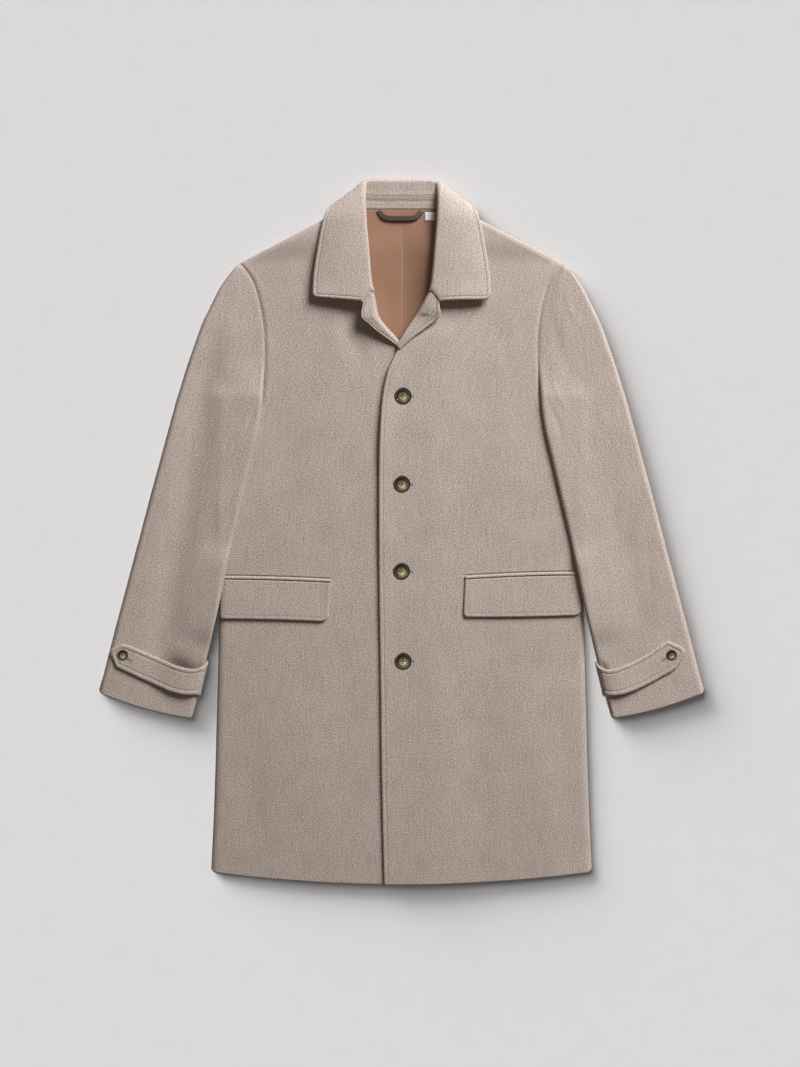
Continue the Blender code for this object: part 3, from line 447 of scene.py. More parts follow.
# height, half width, left front's edge, right front's edge
BODY = np.array([
    (-0.5085, 0.2748, -0.0255, -0.0300), (-0.430, 0.2715, -0.0275, -0.0310),
    (-0.330, 0.2683, -0.0295, -0.0320), (-0.230, 0.2656, -0.0305, -0.0330),
    (-0.130, 0.2630, -0.0319, -0.0330), (-0.010, 0.2588, -0.0330, -0.0330),
    (0.075, 0.2558, -0.0330, -0.0330), (0.117, 0.2500, -0.0324, -0.0325),
    (0.150, 0.2260, -0.0312, -0.0320), (0.172, 0.2085, -0.0298, -0.0300),
    (0.193, 0.1995, -0.0280, -0.0285), (0.229, 0.1973, -0.0208, -0.0220),
    (0.256, 0.1963, -0.0090, -0.0080), (0.284, 0.1970, 0.0055, 0.0165),
    (0.306, 0.1994, 0.0190, 0.0330), (0.327, 0.2033, 0.0310, 0.0390),
    (0.359, 0.2124, 0.0465, 0.0465), (0.377, 0.2236, 0.0525, 0.0525),
    (0.388, 0.2325, 0.0555, 0.0555), (0.420, 0.1711, 0.0640, 0.0640),
    (0.452, 0.1097, 0.0755, 0.0755), (0.463, 0.0884, 0.0830, 0.0830)])
# soft folds of each front: from height and place, to height and place, width, height
FRONT_FOLDS = {
    LEFT: ((0.240, 0.150, -0.020, 0.120, 0.032, 0.0013), (-0.160, 0.175, -0.480, 0.190, 0.036, 0.0015),
           (-0.180, 0.105, -0.480, 0.100, 0.030, -0.0012)),
    RIGHT: ((0.250, 0.160, 0.020, 0.175, 0.030, -0.0012), (-0.170, 0.130, -0.480, 0.150, 0.038, 0.0015),
            (-0.170, 0.215, -0.470, 0.225, 0.026, -0.0010)),
}


def body_table(y, column):
    """One column of the table; straight between rows by the shoulder, where the seam has corners."""
    knots, values = BODY[:, 0], BODY[:, column]
    return np.where(y > SHOULDER_FROM, np.interp(y, knots, values), curve(y, knots, values))


def fall_lift(y):
    """The back is raised by a soft step over the part of the collar that is folded under it."""
    return FALL_RAISE * smooth(FALL_FROM, FALL_TO, y)


def side_line(y):
    """Half width at the side fold, carried on straight above the underarm."""
    low = BODY[BODY[:, 0] < ARM_OPEN[1]]
    return np.interp(y, low[:, 0], low[:, 1])


def shoulder_distance(x, y):
    """Distance in from the straight line of the shoulder."""
    run, drop = SHOULDER_TIP[0] - NECK_POINT[0], NECK_POINT[1] - SHOULDER_TIP[1]
    return ((SHOULDER_TIP[0] - x) * drop + (SHOULDER_TIP[1] - y) * run) / math.hypot(run, drop)


def front_top(side, x, y):
    """Height of a front: a quarter fold at side and shoulder, a crown toward the middle, soft
    folds, and a step up where the left front lies over the right one."""
    inward = side_line(y) - x
    closed = 1 - smooth(ARM_OPEN[0], ARM_OPEN[1], y)
    roll = 1 - closed * (1 - quarter(inward, SIDE_ROLL))
    roll = roll * quarter(shoulder_distance(x, y), SHOULDER_ROLL)
    crown = CROWN * (1 - np.exp(-np.maximum(inward, 0) / CROWN_REACH))
    top = BACK + SEAM + fall_lift(y) + (SIDE_RISE + crown + crease(FRONT_FOLDS[side], y, x)) * roll
    if side == LEFT:
        top = top + (WOOL + 2 * REST) * (1 - smooth(*LAP_ACROSS, x)) * (1 - smooth(*LAP_UP, y))
    return top


def hem_curve(x, y):
    """The hem hangs lowest in the middle: a parabola across it that fades out up the coat, and a
    quarter circle that rounds each corner."""
    corner = HEM_CORNER * (1 - quarter(BODY[0, 1] - abs(x), HEM_CORNER))
    corner = corner * (1 - smooth(HEM_Y, HEM_Y + CORNER_FADE, y))
    return corner + HEM_RISE * (x / HEM_HALF) ** 2 * (1 - smooth(HEM_Y, HEM_Y + HEM_FADE, y))


chest = front_top(LEFT, np.linspace(0, 0.19, 6), np.full(6, 0.1))
print("front at the chest:", np.round(1000 * chest, 1), "mm")

# %% [markdown]
# ## Back
# The back lies on the table, so its outer face is flat. Cloth that has been pressed flat still
# keeps a few shallow hollows where it doesn't quite touch, and those are listed one by one.

# %% Back
BACK_HOLLOWS = ((0.30, -0.080, -0.30, -0.120, 0.030, 0.0011), (0.26, 0.100, -0.10, 0.070, 0.022, 0.0009),
                (-0.05, 0.040, -0.47, 0.060, 0.028, 0.0012), (-0.12, -0.190, -0.46, -0.180, 0.024, 0.0008),
                (-0.20, 0.180, -0.48, 0.200, 0.026, 0.0010))
BACK_TOP, NECK_SLOPE = 0.4690, 1.9

hem_rows = HEM_Y + 0.004 * (1 - np.cos(np.linspace(0, np.pi / 2, 6)))
row_y = np.concatenate([hem_rows, np.linspace(-0.498, 0.380, 176), np.linspace(0.384, BACK_TOP, 22)])
share = np.concatenate([-1 + 0.02 * np.linspace(0, 1, 6) ** 1.5, np.linspace(-0.97, 0.97, 97),
                        1 - 0.02 * np.linspace(1, 0, 6) ** 1.5])
y, across = np.meshgrid(row_y, share, indexing="ij")
last = BODY[-1]
neck_half = last[1] - (row_y - last[0]) * NECK_SLOPE
half = np.where(row_y > last[0], neck_half, body_table(np.minimum(row_y, last[0]), 1))
x = across * half[:, None]
edge = np.minimum((1 - abs(across)) * half[:, None], y - HEM_Y)
sink = edge_roll(edge, BACK)
level = fall_lift(y) + crease(BACK_HOLLOWS, y, x) * smooth(0, 0.02, edge)
under = np.stack([x, y + hem_curve(x, y), level - sink / 2], axis=-1)
over = np.stack([x, y + hem_curve(x, y), level + BACK + sink / 2], axis=-1)
cloth_piece("back", under, over, wool)

# %% [markdown]
# ## Fronts
# Each front runs from its edge to the side fold, the armhole and the shoulder. Columns of the grid
# crowd together near the edge, where the bead and the stitches need them, and near the side, where
# the cloth rolls over. Rows crowd together at the pockets, where the cloth is pulled in along the
# welt. Low creases, a hollow under each button and a lifted left edge are added to the form.

# %% Front faces
FRONT_BUTTONS = np.array([(0.0018, 0.1954), (0.0002, 0.0687), (-0.0003, -0.0566), (0.0020, -0.1860)])
FINE_CREASES = {
    LEFT: ((0.33, 0.130, 0.20, 0.165, 0.016, -0.0008), (0.10, 0.060, -0.04, 0.075, 0.020, 0.0006),
           (-0.13, 0.060, -0.42, 0.045, 0.017, 0.0006), (-0.24, 0.235, -0.50, 0.232, 0.018, -0.0007),
           (0.16, 0.020, 0.03, 0.030, 0.018, -0.0006), (-0.30, 0.140, -0.51, 0.135, 0.014, 0.0006)),
    RIGHT: ((0.32, 0.110, 0.17, 0.150, 0.018, -0.0009), (0.09, 0.090, -0.05, 0.080, 0.022, 0.0006),
            (-0.14, 0.085, -0.40, 0.075, 0.016, -0.0006), (-0.22, 0.180, -0.50, 0.195, 0.018, 0.0006),
            (0.37, 0.080, 0.22, 0.060, 0.015, -0.0036), (0.20, 0.060, 0.06, 0.066, 0.016, 0.0005),
            (-0.33, 0.105, -0.51, 0.110, 0.015, 0.0005)),
}
# height, and how far the left front's edge stands up there
EDGE_LIFT = np.array([(-0.51, 0.0005), (-0.38, 0.0008), (-0.25, 0.0010), (-0.12, 0.0016), (0.0, 0.0026),
                      (0.13, 0.0040), (0.20, 0.0046), (0.235, 0.0036), (0.262, 0.0012)])
# upper edge of each flap: inner corner x and y, outer corner x and y, and how far it bows up
POCKETS = {LEFT: (0.0912, -0.0685, 0.2588, -0.0627, 0.0014),
           RIGHT: (0.1015, -0.0732, 0.2604, -0.0685, 0.0010)}
# inner and outer depth, sag of the lower edge, inner and outer corner radius, slant of the inner end
FLAPS = {LEFT: (0.0541, 0.0574, 0.0026, 0.006, 0.010, -0.0025),
         RIGHT: (0.0564, 0.0571, 0.0, 0.012, 0.004, 0.0035)}
WELT_TALL, WELT_PULL = 4.8 * MM, 1.3 * MM
LAPEL_FOOT = 0.262        # height where the front's edge turns into the lapel
BUTTON_HOLLOW, BUTTON_REACH = 0.0007, 0.016
# the armhole's seam dips, with a low swelling beside it; it is sewn from under the arm to the shoulder
ARM_SEAM, ARM_DIP, SEAM_SWELL, SWELL_AT = 2.2 * MM, 0.0010, 0.0003, 0.006
ARMHOLE_TOP, ARM_FROM, ARM_TO = 0.3875, (0.085, 0.150), (0.380, 0.392)
SHOULDER_SEAM, SHOULDER_DIP = 4.6 * MM, 0.0008


def edge_lift(x, y):
    """A bell across the left front's edge, from the table, held down near each button."""
    held = bell(np.min([abs(y - by) for _, by in FRONT_BUTTONS], axis=0), 0.03)
    lift = curve(y, EDGE_LIFT[:, 0], EDGE_LIFT[:, 1]) * (1 - smooth(LAPEL_FOOT, 0.30, y)) * (1 - 0.35 * held)
    return lift * bell(x - body_table(y, 2), 0.018)


def pocket_line(side, along):
    """Height of the flap's upper edge: straight between its corners, with a slight bow."""
    _, y0, _, y1, bow = POCKETS[side]
    return y0 + (y1 - y0) * along + bow * 4 * along * (1 - along)


def welt_pull(side, x, y):
    """A narrow bell-shaped groove just above the welt, along its whole length."""
    x0, x1 = POCKETS[side][0], POCKETS[side][2]
    middle = pocket_line(side, (x - x0) / (x1 - x0)) + SEAM + WELT_TALL + 0.7 * MM
    length = smooth(x0 - 0.003, x0 + 0.003, x) * (1 - smooth(x1 - 0.003, x1 + 0.003, x))
    return WELT_PULL * length * bell(y - middle, 1.0 * MM)


def front_face(side, x, y):
    """The front's height with creases and seam dips; on the left, hollows at buttons and the lift."""
    low = crease(FINE_CREASES[side], y, x) - welt_pull(side, x, y)
    if side == LEFT:
        gap = np.min([np.hypot(x - bx, y - by) for bx, by in FRONT_BUTTONS], axis=0)
        low = low - BUTTON_HOLLOW * bell(gap, BUTTON_REACH) + edge_lift(x, y)
    arm = body_table(np.minimum(y, ARMHOLE_TOP), 1) - x
    sewn = smooth(*ARM_FROM, y) * (1 - smooth(*ARM_TO, y))
    low = low + sewn * (SEAM_SWELL * bell(arm - SWELL_AT, 0.004) - ARM_DIP * bell(arm, ARM_SEAM))
    shoulder = bell(shoulder_distance(x, y) - SHOULDER_SEAM, 0.8 * MM)
    return front_top(side, x, y) + (low - SHOULDER_DIP * shoulder * smooth(SHOULDER_FROM, 0.40, y))


print("lift of the left edge:", np.round(1000 * edge_lift(body_table(row_y, 2), row_y)[::25], 2), "mm")

# %% [markdown]
# The grids of both fronts are made by one function, since only the tables differ. The edge gets its
# bead up to where the lapel begins, and the hem is turned under without a visible row.

# %% Fronts
EDGE_ZONE, SIDE_ZONE = 0.014, 0.026
stitched = {}           # by node: distance from the sewn edge, as a share of the stitches' distance


def front_columns(first, last):
    """Places across each row: close together by the edge, even in the middle, closer at the side."""
    wide = (last - first)[:, None]
    edge, roll = np.minimum(EDGE_ZONE, 0.25 * wide), np.minimum(SIDE_ZONE, 0.4 * wide)
    near = np.concatenate([0.12 * np.linspace(0, 1, 5) ** 2, np.linspace(0.16, 1, 22)])[None, :]
    far = (1 - np.cos(np.linspace(np.pi / 2, 0, 13)))[None, :]
    even = np.linspace(0, 1, 50)[None, 1:-1]
    first, last = first[:, None], last[:, None]
    return np.concatenate([first + edge * near, first + edge + (wide - edge - roll) * even,
                           last - roll * far], axis=1)


front_rows = np.concatenate([hem_rows, np.linspace(-0.500, -0.0745, 100),
                             np.linspace(-0.0735, -0.0515, 56), np.linspace(-0.048, 0.360, 98),
                             np.linspace(0.3635, 0.463, 34)])
for node, side, column in (("front_left", LEFT, 2), ("front_right", RIGHT, 3)):
    first, last = body_table(front_rows, column), body_table(front_rows, 1)
    x = front_columns(first, last)
    y = np.broadcast_to(front_rows[:, None], x.shape)
    face = np.stack([side * x, y + hem_curve(x, y), front_face(side, x, y)], axis=-1)
    n = normals(face)
    from_edge = x - first[:, None]
    proud = topstitched(from_edge, WOOL) * (1 - smooth(LAPEL_FOOT, 0.285, y))
    proud = np.minimum(proud, edge_roll(y - HEM_Y, WOOL) + np.maximum(proud, 0))
    stitched[node] = from_edge / STITCH_IN
    cloth_piece(node, face + n * proud[..., None], face - n * WOOL, wool)

# %% [markdown]
# ## Sleeves
# A sleeve is a flat tube too: an upper half that rolls over at both folds, and a lower half that
# lies on the table and on the body's side. The tables give the two folds from head to cuff. One
# long hollow runs down the right sleeve, and a dent sits beside the left armhole. Smaller creases
# fan out from the underarm.

# %% Sleeve form
# inner fold x and y, outer fold x and y
FOLDS = np.array([
    (0.2329, 0.388, 0.2402, 0.3824), (0.2239, 0.377, 0.2520, 0.3672), (0.2127, 0.359, 0.2632, 0.3508),
    (0.2036, 0.327, 0.2770, 0.3230), (0.1997, 0.306, 0.2855, 0.3060), (0.1973, 0.284, 0.2930, 0.2870),
    (0.1966, 0.256, 0.3017, 0.2620), (0.1976, 0.229, 0.3100, 0.2380), (0.1998, 0.193, 0.3193, 0.2080),
    (0.2020, 0.172, 0.3249, 0.1900), (0.2059, 0.147, 0.3310, 0.1680), (0.2170, 0.100, 0.3427, 0.1250),
    (0.2319, 0.036, 0.3593, 0.0640), (0.2480, -0.034, 0.3770, -0.0030), (0.2620, -0.102, 0.3945, -0.0690),
    (0.2774, -0.168, 0.4118, -0.1340), (0.2894, -0.217, 0.4240, -0.1815), (0.3016, -0.2690, 0.4366, -0.2316)])
CUFF_ROW, ROW_SPAN = 17, 0.048
SLEEVE_TOP, SLEEVE_OVER = 0.0140, 0.0038
INNER_ROLL, OUTER_ROLL, HEAD_ROLL, HEAD_LIP = 0.006, 0.007, 0.009, 0.0004
UNDERARM_Y, SLEEVE_RAMP, CUFF_BOW, CUFF_CORNER = 0.193, 0.038, 0.0048, 0.0045
FLAP_RAISE, FLAP_BELOW, FLAP_ABOVE = 0.0046, (-0.175, -0.140), (-0.050, -0.015)
HEAD_RAMP, HEAD_DIP = {LEFT: 0.30, RIGHT: 0.60}, {LEFT: 0.0012, RIGHT: 0.0006}
HEAD_DROP = {LEFT: 0.0, RIGHT: 0.0032}
# rows where the head's drop ends, the inner fold comes free of the armhole, and its edge leaves the front
DROP_ROWS, FREE_ROWS, LIFT_ROWS = (1, 6), (6, 8), (7.5, 8.4)
# from row and share across, to row and share across, width, height
SLEEVE_FOLDS = {
    LEFT: ((3.0, 0.22, 7.5, 0.30, 0.11, -0.0022), (10.0, 0.62, 16.0, 0.52, 0.14, -0.0016)),
    RIGHT: ((2.5, 0.74, 13.0, 0.72, 0.17, -0.0048), (8.0, 0.70, 18.0, 0.44, 0.16, -0.0050)),
}
SLEEVE_CREASES = {
    LEFT: ((6.5, 0.10, 9.6, 0.34, 0.035, 0.0006), (7.6, 0.06, 11.4, 0.22, 0.030, -0.0007),
           (11.8, 0.72, 13.6, 0.44, 0.045, 0.0007), (12.6, 0.86, 14.6, 0.66, 0.040, -0.0006),
           (1.5, 0.40, 5.0, 0.66, 0.070, 0.0006)),
    RIGHT: ((6.5, 0.12, 10.2, 0.30, 0.035, 0.0007), (8.0, 0.05, 11.0, 0.16, 0.028, -0.0006),
            (12.2, 0.80, 14.0, 0.60, 0.045, -0.0007), (11.4, 0.30, 13.0, 0.12, 0.035, 0.0006),
            (2.0, 0.30, 5.4, 0.50, 0.070, -0.0006)),
}
# hollows and swellings where each strap pulls its sleeve in: from share across and row, to share and
# row, width, height
CUFF_DENTS = {
    LEFT: ((0.02, 15.80, 0.60, 15.70, 0.50, -0.0012), (-0.02, 15.45, 0.12, 15.75, 0.14, -0.0040),
           (-0.30, 16.33, 0.62, 16.02, 0.30, 0.0020)),
    RIGHT: ((0.02, 15.78, 0.58, 15.70, 0.42, -0.0050), (-0.10, 15.83, 0.56, 15.72, 0.22, -0.0055),
            (-0.02, 15.45, 0.12, 15.75, 0.14, -0.0030), (-0.30, 16.33, 0.62, 16.02, 0.30, 0.0022)),
}


def sleeve_support(side, x, y):
    """Height of what the sleeve lies on: the front's side and the flap there, easing to the table."""
    inside = np.minimum(x, side_line(y) - SIDE_FLAT)
    flap = smooth(*FLAP_BELOW, y) * (1 - smooth(*FLAP_ABOVE, y))
    over = front_top(side, inside, y) + REST + FLAP_RAISE * flap
    outside = np.hypot(np.maximum(x - side_line(y), 0), np.maximum(y - UNDERARM_Y, 0))
    return over * (1 - smooth(0, SLEEVE_RAMP, outside))


def sleeve_plan(row, across):
    """Place seen from above: straight across between the folds; the cuff is bowed, with round corners."""
    at = np.arange(len(FOLDS))
    inner_x, inner_y, outer_x, outer_y = (curve(row, at, FOLDS[:, i]) for i in range(4))
    bow = CUFF_BOW * 4 * across * (1 - across) * smooth(CUFF_ROW - 3, CUFF_ROW, row)
    wide = np.hypot(outer_x - inner_x, outer_y - inner_y)
    cut = CUFF_CORNER * (1 - quarter(np.minimum(across, 1 - across) * wide, CUFF_CORNER))
    x = inner_x + (outer_x - inner_x) * across
    y = inner_y + (outer_y - inner_y) * across - bow + cut * smooth(CUFF_ROW - 0.5, CUFF_ROW, row)
    return x, y, wide, inner_x, inner_y


def sleeve_top(side, row, across, dented=1):
    """Upper face: sewn to the front by the armhole, folded over below it, a quarter fold outside.
    With dented 0 the strap's hollows and swellings are left out."""
    x, y, wide, inner_x, inner_y = sleeve_plan(row, across)
    free, lifted = smooth(*FREE_ROWS, row), smooth(*LIFT_ROWS, row)
    sewn = front_top(side, inner_x - SEAM, inner_y)
    base = sleeve_support(side, inner_x, np.minimum(inner_y, UNDERARM_Y)) + SLEEVE + SEAM
    raised = np.maximum(base + SLEEVE_OVER - SLEEVE_TOP, 0)
    level = SLEEVE_TOP + raised * free * (1 - smooth(0, 0.55, across))
    level = level + crease(SLEEVE_FOLDS[side], row, across)
    level = level - HEAD_DROP[side] * (1 - smooth(*DROP_ROWS, row))
    level = -nearer(-level, -sleeve_support(side, x, y) - 2 * SLEEVE - 2 * REST, 2 * MM)
    level = level + crease(SLEEVE_CREASES[side], row, across)
    level = level + dented * crease(CUFF_DENTS[side], across, row)
    gap = across * wide
    attached = sewn + (level - sewn) * smooth(0, HEAD_RAMP[side], across)
    attached = attached + SEAM_SWELL * bell(gap - SWELL_AT, 0.005)
    attached = attached - HEAD_DIP[side] * bell(gap, ARM_SEAM)
    edge = sewn + (base - sewn) * lifted
    folded = edge + (level - edge) * quarter(gap, INNER_ROLL)
    top = attached + (folded - attached) * free
    low = SLEEVE + SEAM
    from_head = FOLDS[0, 1] + (FOLDS[0, 3] - FOLDS[0, 1]) * across - y
    roll = quarter((1 - across) * wide, OUTER_ROLL) * quarter(from_head + HEAD_LIP, HEAD_ROLL)
    return np.stack([side * x, y, low + (top - low) * roll], axis=-1)


print("sleeve length:", round(float(np.linalg.norm(FOLDS[-1, 2:] - FOLDS[0, 2:])), 3))

# %% [markdown]
# Rows and columns of the sleeve's grid follow a quarter turn where the cloth rolls, so that a round
# fold gets points all the way round it. The lower half has hollows too, seen from underneath.

# %% Sleeves
UNDER_HOLLOWS = ((5.0, 0.60, 15.0, 0.66, 0.10, 0.0010), (8.0, 0.80, 14.0, 0.74, 0.06, 0.0007))

turn = 1 - np.cos(np.linspace(0, np.pi / 2, 11))
sleeve_across = np.concatenate([0.10 * turn, np.linspace(0.10, 0.88, 42)[1:-1], 1 - 0.12 * turn[::-1]])
sleeve_rows = np.concatenate([0.9 * turn, np.linspace(0.9, 16.9, 150)[1:],
                              CUFF_ROW - 0.1 * np.linspace(0.85, 0, 9) ** 1.6])
for hand, side in HANDS:
    row, across = np.meshgrid(sleeve_rows, sleeve_across, indexing="ij")
    face = sleeve_top(side, row, across)
    n = normals(face)
    proud = edge_roll((CUFF_ROW - row) * ROW_SPAN, SLEEVE)
    cloth_piece(f"top_sleeve_{hand}", face + n * proud[..., None], face - n * SLEEVE, wool)
    row, across = np.meshgrid(sleeve_rows[::2], np.linspace(0, 1, 50), indexing="ij")
    x, y = sleeve_plan(row, across)[:2]
    level = sleeve_support(side, x, y) + crease(UNDER_HOLLOWS, row, across)
    under = np.stack([side * x, y, level], axis=-1)
    cloth_piece(f"under_sleeve_{hand}", under, under + np.array([0, 0, SLEEVE]), wool)

# %% [markdown]
# ## Cuff straps
# A pointed strap crosses each cuff and is held by a small button. It is two plies of wool, sewn
# round its edge. It stands off the sleeve near the inner fold and over the hollow that it makes, so
# the strap follows the sleeve's own form and is moved out by a lift that changes along it. The two
# straps don't lie quite alike.

# %% Cuff straps
# share across the sleeve, distance up from the cuff, half width, lift
STRAPS = {
    LEFT: np.array([
        (0.000, 0.0545, 0.0250, 0.0014), (0.012, 0.0518, 0.0220, 0.0018), (0.040, 0.0489, 0.0192, 0.0026),
        (0.085, 0.0469, 0.0181, 0.0040), (0.160, 0.0464, 0.0179, 0.0046), (0.260, 0.0478, 0.0182, 0.0038),
        (0.400, 0.0510, 0.0185, 0.0020), (0.520, 0.0546, 0.0190, 0.0011), (0.640, 0.0592, 0.0199, 0.0009),
        (0.720, 0.0618, 0.0206, 0.0008), (0.765, 0.0632, 0.0200, 0.0008), (0.800, 0.0628, 0.0168, 0.0008),
        (0.840, 0.0630, 0.0125, 0.0008), (0.875, 0.0632, 0.0080, 0.0008), (0.905, 0.0630, 0.0030, 0.0008)]),
    RIGHT: np.array([
        (0.000, 0.0545, 0.0258, 0.0014), (0.012, 0.0530, 0.0225, 0.0018), (0.040, 0.0502, 0.0194, 0.0026),
        (0.085, 0.0478, 0.0182, 0.0040), (0.160, 0.0466, 0.0178, 0.0046), (0.260, 0.0469, 0.0177, 0.0038),
        (0.400, 0.0496, 0.0177, 0.0020), (0.520, 0.0521, 0.0178, 0.0011), (0.640, 0.0543, 0.0179, 0.0009),
        (0.760, 0.0566, 0.0179, 0.0008), (0.840, 0.0574, 0.0176, 0.0008), (0.880, 0.0576, 0.0170, 0.0008),
        (0.915, 0.0582, 0.0128, 0.0008), (0.948, 0.0590, 0.0078, 0.0008), (0.976, 0.0600, 0.0030, 0.0008)]),
}
SMALL, STRAP_LONG = 0.004, 0.139


def strap_face(side, along, over):
    """Points of the strap's under face, directions out and distances from its edge; over runs from
    -1 to 1 across it. A slanting edge is nearer than it is straight across, by its slope."""
    table = STRAPS[side]
    up, half, off = (curve(along, table[:, 0], table[:, i]) for i in (1, 2, 3))
    row = CUFF_ROW - (up + half * over) / ROW_SPAN
    lengthwise = sleeve_top(side, row + SMALL, along, 0) - sleeve_top(side, row - SMALL, along, 0)
    back = np.maximum(along - SMALL, 0)
    crosswise = sleeve_top(side, row, along + SMALL, 0) - sleeve_top(side, row, back, 0)
    n = unit(np.cross(lengthwise, crosswise))
    n = n * np.sign(n[..., 2].mean())
    ahead, behind = (curve(along + s, table[:, 0], table[:, 2]) for s in (SMALL, -SMALL))
    slope = (ahead - behind) / (2 * SMALL * STRAP_LONG)
    to_side = half * (1 - abs(over)) / np.sqrt(1 + slope ** 2)
    to_tip = (table[-1, 0] - along) * STRAP_LONG + 0.4 * MM
    face = sleeve_top(side, row, along, 0) + n * off[..., None]
    return face, n, np.maximum(nearer(to_side, to_tip), 0)


line = np.linspace(-1, 1, 61)
for hand, side in HANDS:
    tip = STRAPS[side][-1, 0]
    along = np.concatenate([0.04 * np.linspace(0, 1, 8) ** 1.5, np.linspace(0.05, tip - 0.160, 56),
                            np.linspace(tip - 0.154, tip, 36)])
    along, over = np.meshgrid(along, 0.6 * np.sin(np.pi / 2 * line) + 0.4 * line, indexing="ij")
    face, n, from_edge = strap_face(side, along, over)
    outer = face + n * (TRIM + topstitched(from_edge, TRIM))[..., None]
    stitched[f"cuff_strap_{hand}"] = from_edge / STITCH_IN
    cloth_piece(f"cuff_strap_{hand}", outer, face, wool)

# %% [markdown]
# ## Collar
# The collar is one band folded over: inside it stands against the neck, at the fold it turns, and
# outside it falls as two pointed leaves. Behind the neck the fall is folded under the back. Each
# row of the table is a section, from the leaf's front end to the middle of the back, and the
# other half is its mirror image. A section is a short run, half a circle and a long gentle bow.
# The front end isn't cut straight: it slants down to the notch, where it is sewn to the lapel.

# %% Collar form
COLLAR_KEYS = ("apex_x", "apex_y", "apex_z", "edge_x", "edge_y", "edge_z", "turn", "fold", "tuck",
               "seam_x", "seam_y", "seam_z")
COLLAR_ROWS = np.array([
    (0.0400, 0.3390, 0.0212, 0.1236, 0.3368, 0.0226, 0, 0.0070, 0.007, 0.0560, 0.3480, 0.0150),
    (0.0418, 0.3470, 0.0230, 0.1284, 0.3440, 0.0220, 0, 0.0070, 0.007, 0.0565, 0.3560, 0.0151),
    (0.0446, 0.3680, 0.0235, 0.1276, 0.3660, 0.0208, 0, 0.0070, 0.007, 0.0570, 0.3740, 0.0152),
    (0.0480, 0.4080, 0.0245, 0.1218, 0.4060, 0.0208, 4, 0.0070, 0.007, 0.0625, 0.4080, 0.0180),
    (0.0514, 0.4480, 0.0240, 0.1145, 0.4440, 0.0205, 14, 0.0070, 0.007, 0.0690, 0.4400, 0.0196),
    (0.0528, 0.4800, 0.0205, 0.1085, 0.4610, 0.0165, 45, 0.0068, 0.012, 0.0770, 0.4640, 0.0170),
    (0.0518, 0.5018, 0.0130, 0.1030, 0.4672, 0.0100, 90, 0.0066, 0.019, 0.0760, 0.4730, 0.0112),
    (0.0455, 0.5066, 0.0094, 0.0955, 0.4655, 0.0024, 150, 0.0066, 0.028, 0.0640, 0.4668, 0.0084),
    (0.0300, 0.5070, 0.0087, 0.0660, 0.4480, 0.0018, 180, 0.0066, 0.024, 0.0430, 0.4648, 0.0082),
    (0.0000, 0.5070, 0.0087, 0.0000, 0.4380, 0.0018, 180, 0.0066, 0.021, 0.0000, 0.4648, 0.0082)])
LEAF_BULGE, SEAM_RIDGE = 0.0028, 0.0005
END_FADE = 2.2            # rows of the table over which the front end's own form fades out
# distance out along the leaf from the fold, and how far its front end is moved up the coat there
END_SLANT = np.array([(0.0, 0.0062), (0.0125, -0.0076), (0.078, 0.0)])


def collar_frame(station):
    """Sections at any station: apex, free edge, foot, direction out, direction up, and all columns."""
    at = np.arange(len(COLLAR_ROWS))
    c = {key: curve(station, at, COLLAR_ROWS[:, i])[:, None] for i, key in enumerate(COLLAR_KEYS)}
    apex, edge, foot = (np.concatenate([c[f"{name}_{axis}"] for axis in "xyz"], axis=1)
                        for name in ("apex", "edge", "seam"))
    out = unit(edge - apex)
    rise = unit(np.array([0, 0, 1.0]) - out * out[:, 2:])
    turn = np.radians(c["turn"])
    return apex, edge, foot, out, np.cos(turn) * rise + np.sin(turn) * np.cross(rise, out), c


def end_shift(station, reach):
    """Move up the coat at the front end, straight between the table's places, fading to the back."""
    return np.interp(reach, END_SLANT[:, 0], END_SLANT[:, 1]) * (1 - smooth(0, END_FADE, station))


def seam_ridge(station, away):
    """The seam of leaf and stand is a low ridge behind the neck: a bell, away from the seam."""
    return SEAM_RIDGE * smooth(5.5, 7.5, station) * bell(away, 4 * MM)


def mirrored(half):
    """The left half, then its mirror image back to the other front end."""
    return np.concatenate([half, (half[:-1] * np.array([-1, 1, 1]))[::-1]], axis=0)


def collar_middle(station):
    """Middle of the leaf's cloth: run from the seam, half circle at the fold, bow to the edge.
    Also how far out from the fold each point is."""
    apex, edge, _, out, up, c = collar_frame(station)
    r, tuck = c["fold"][:, None] / 2, c["tuck"][:, None]
    run = np.concatenate([[0, 0.01, 0.03], np.linspace(0.08, 1, 8)])[None, :, None]
    angle = np.linspace(-np.pi / 2, np.pi / 2, 15)[None, 1:, None]
    t = np.concatenate([np.linspace(0, 0.86, 40)[1:], 1 - 0.14 * np.linspace(0.97, 0, 26)])
    t = t[None, :, None]
    a, o, u = apex[:, None], out[:, None], up[:, None]
    ridge = seam_ridge(station[:, None, None], (tuck - r) * run)
    inside = a + o * (tuck + (r - tuck) * run) - u * (r + ridge)
    fold = a + o * r * (1 - np.cos(angle)) + u * r * np.sin(angle)
    start = a + (o + u) * r
    bulge = LEAF_BULGE * np.maximum(np.cos(np.radians(c["turn"])), 0)[:, None]
    leaf = start + (edge[:, None] - start) * t + u * bulge * 4 * t * (1 - t)
    middle = np.concatenate([inside, fold, leaf], axis=1)
    reach = t[..., 0] * np.linalg.norm(edge[:, None] - start, axis=-1)
    reach = np.concatenate([np.zeros((len(station), middle.shape[1] - t.shape[1])), reach], axis=1)
    middle[..., 1] += end_shift(station[:, None], reach)
    return middle, reach


stations = np.concatenate([0.9 * np.linspace(0, 1, 24) ** 1.5, np.linspace(0.9, 9, 98)[1:]])
print("collar sections:", 2 * len(stations) - 1)

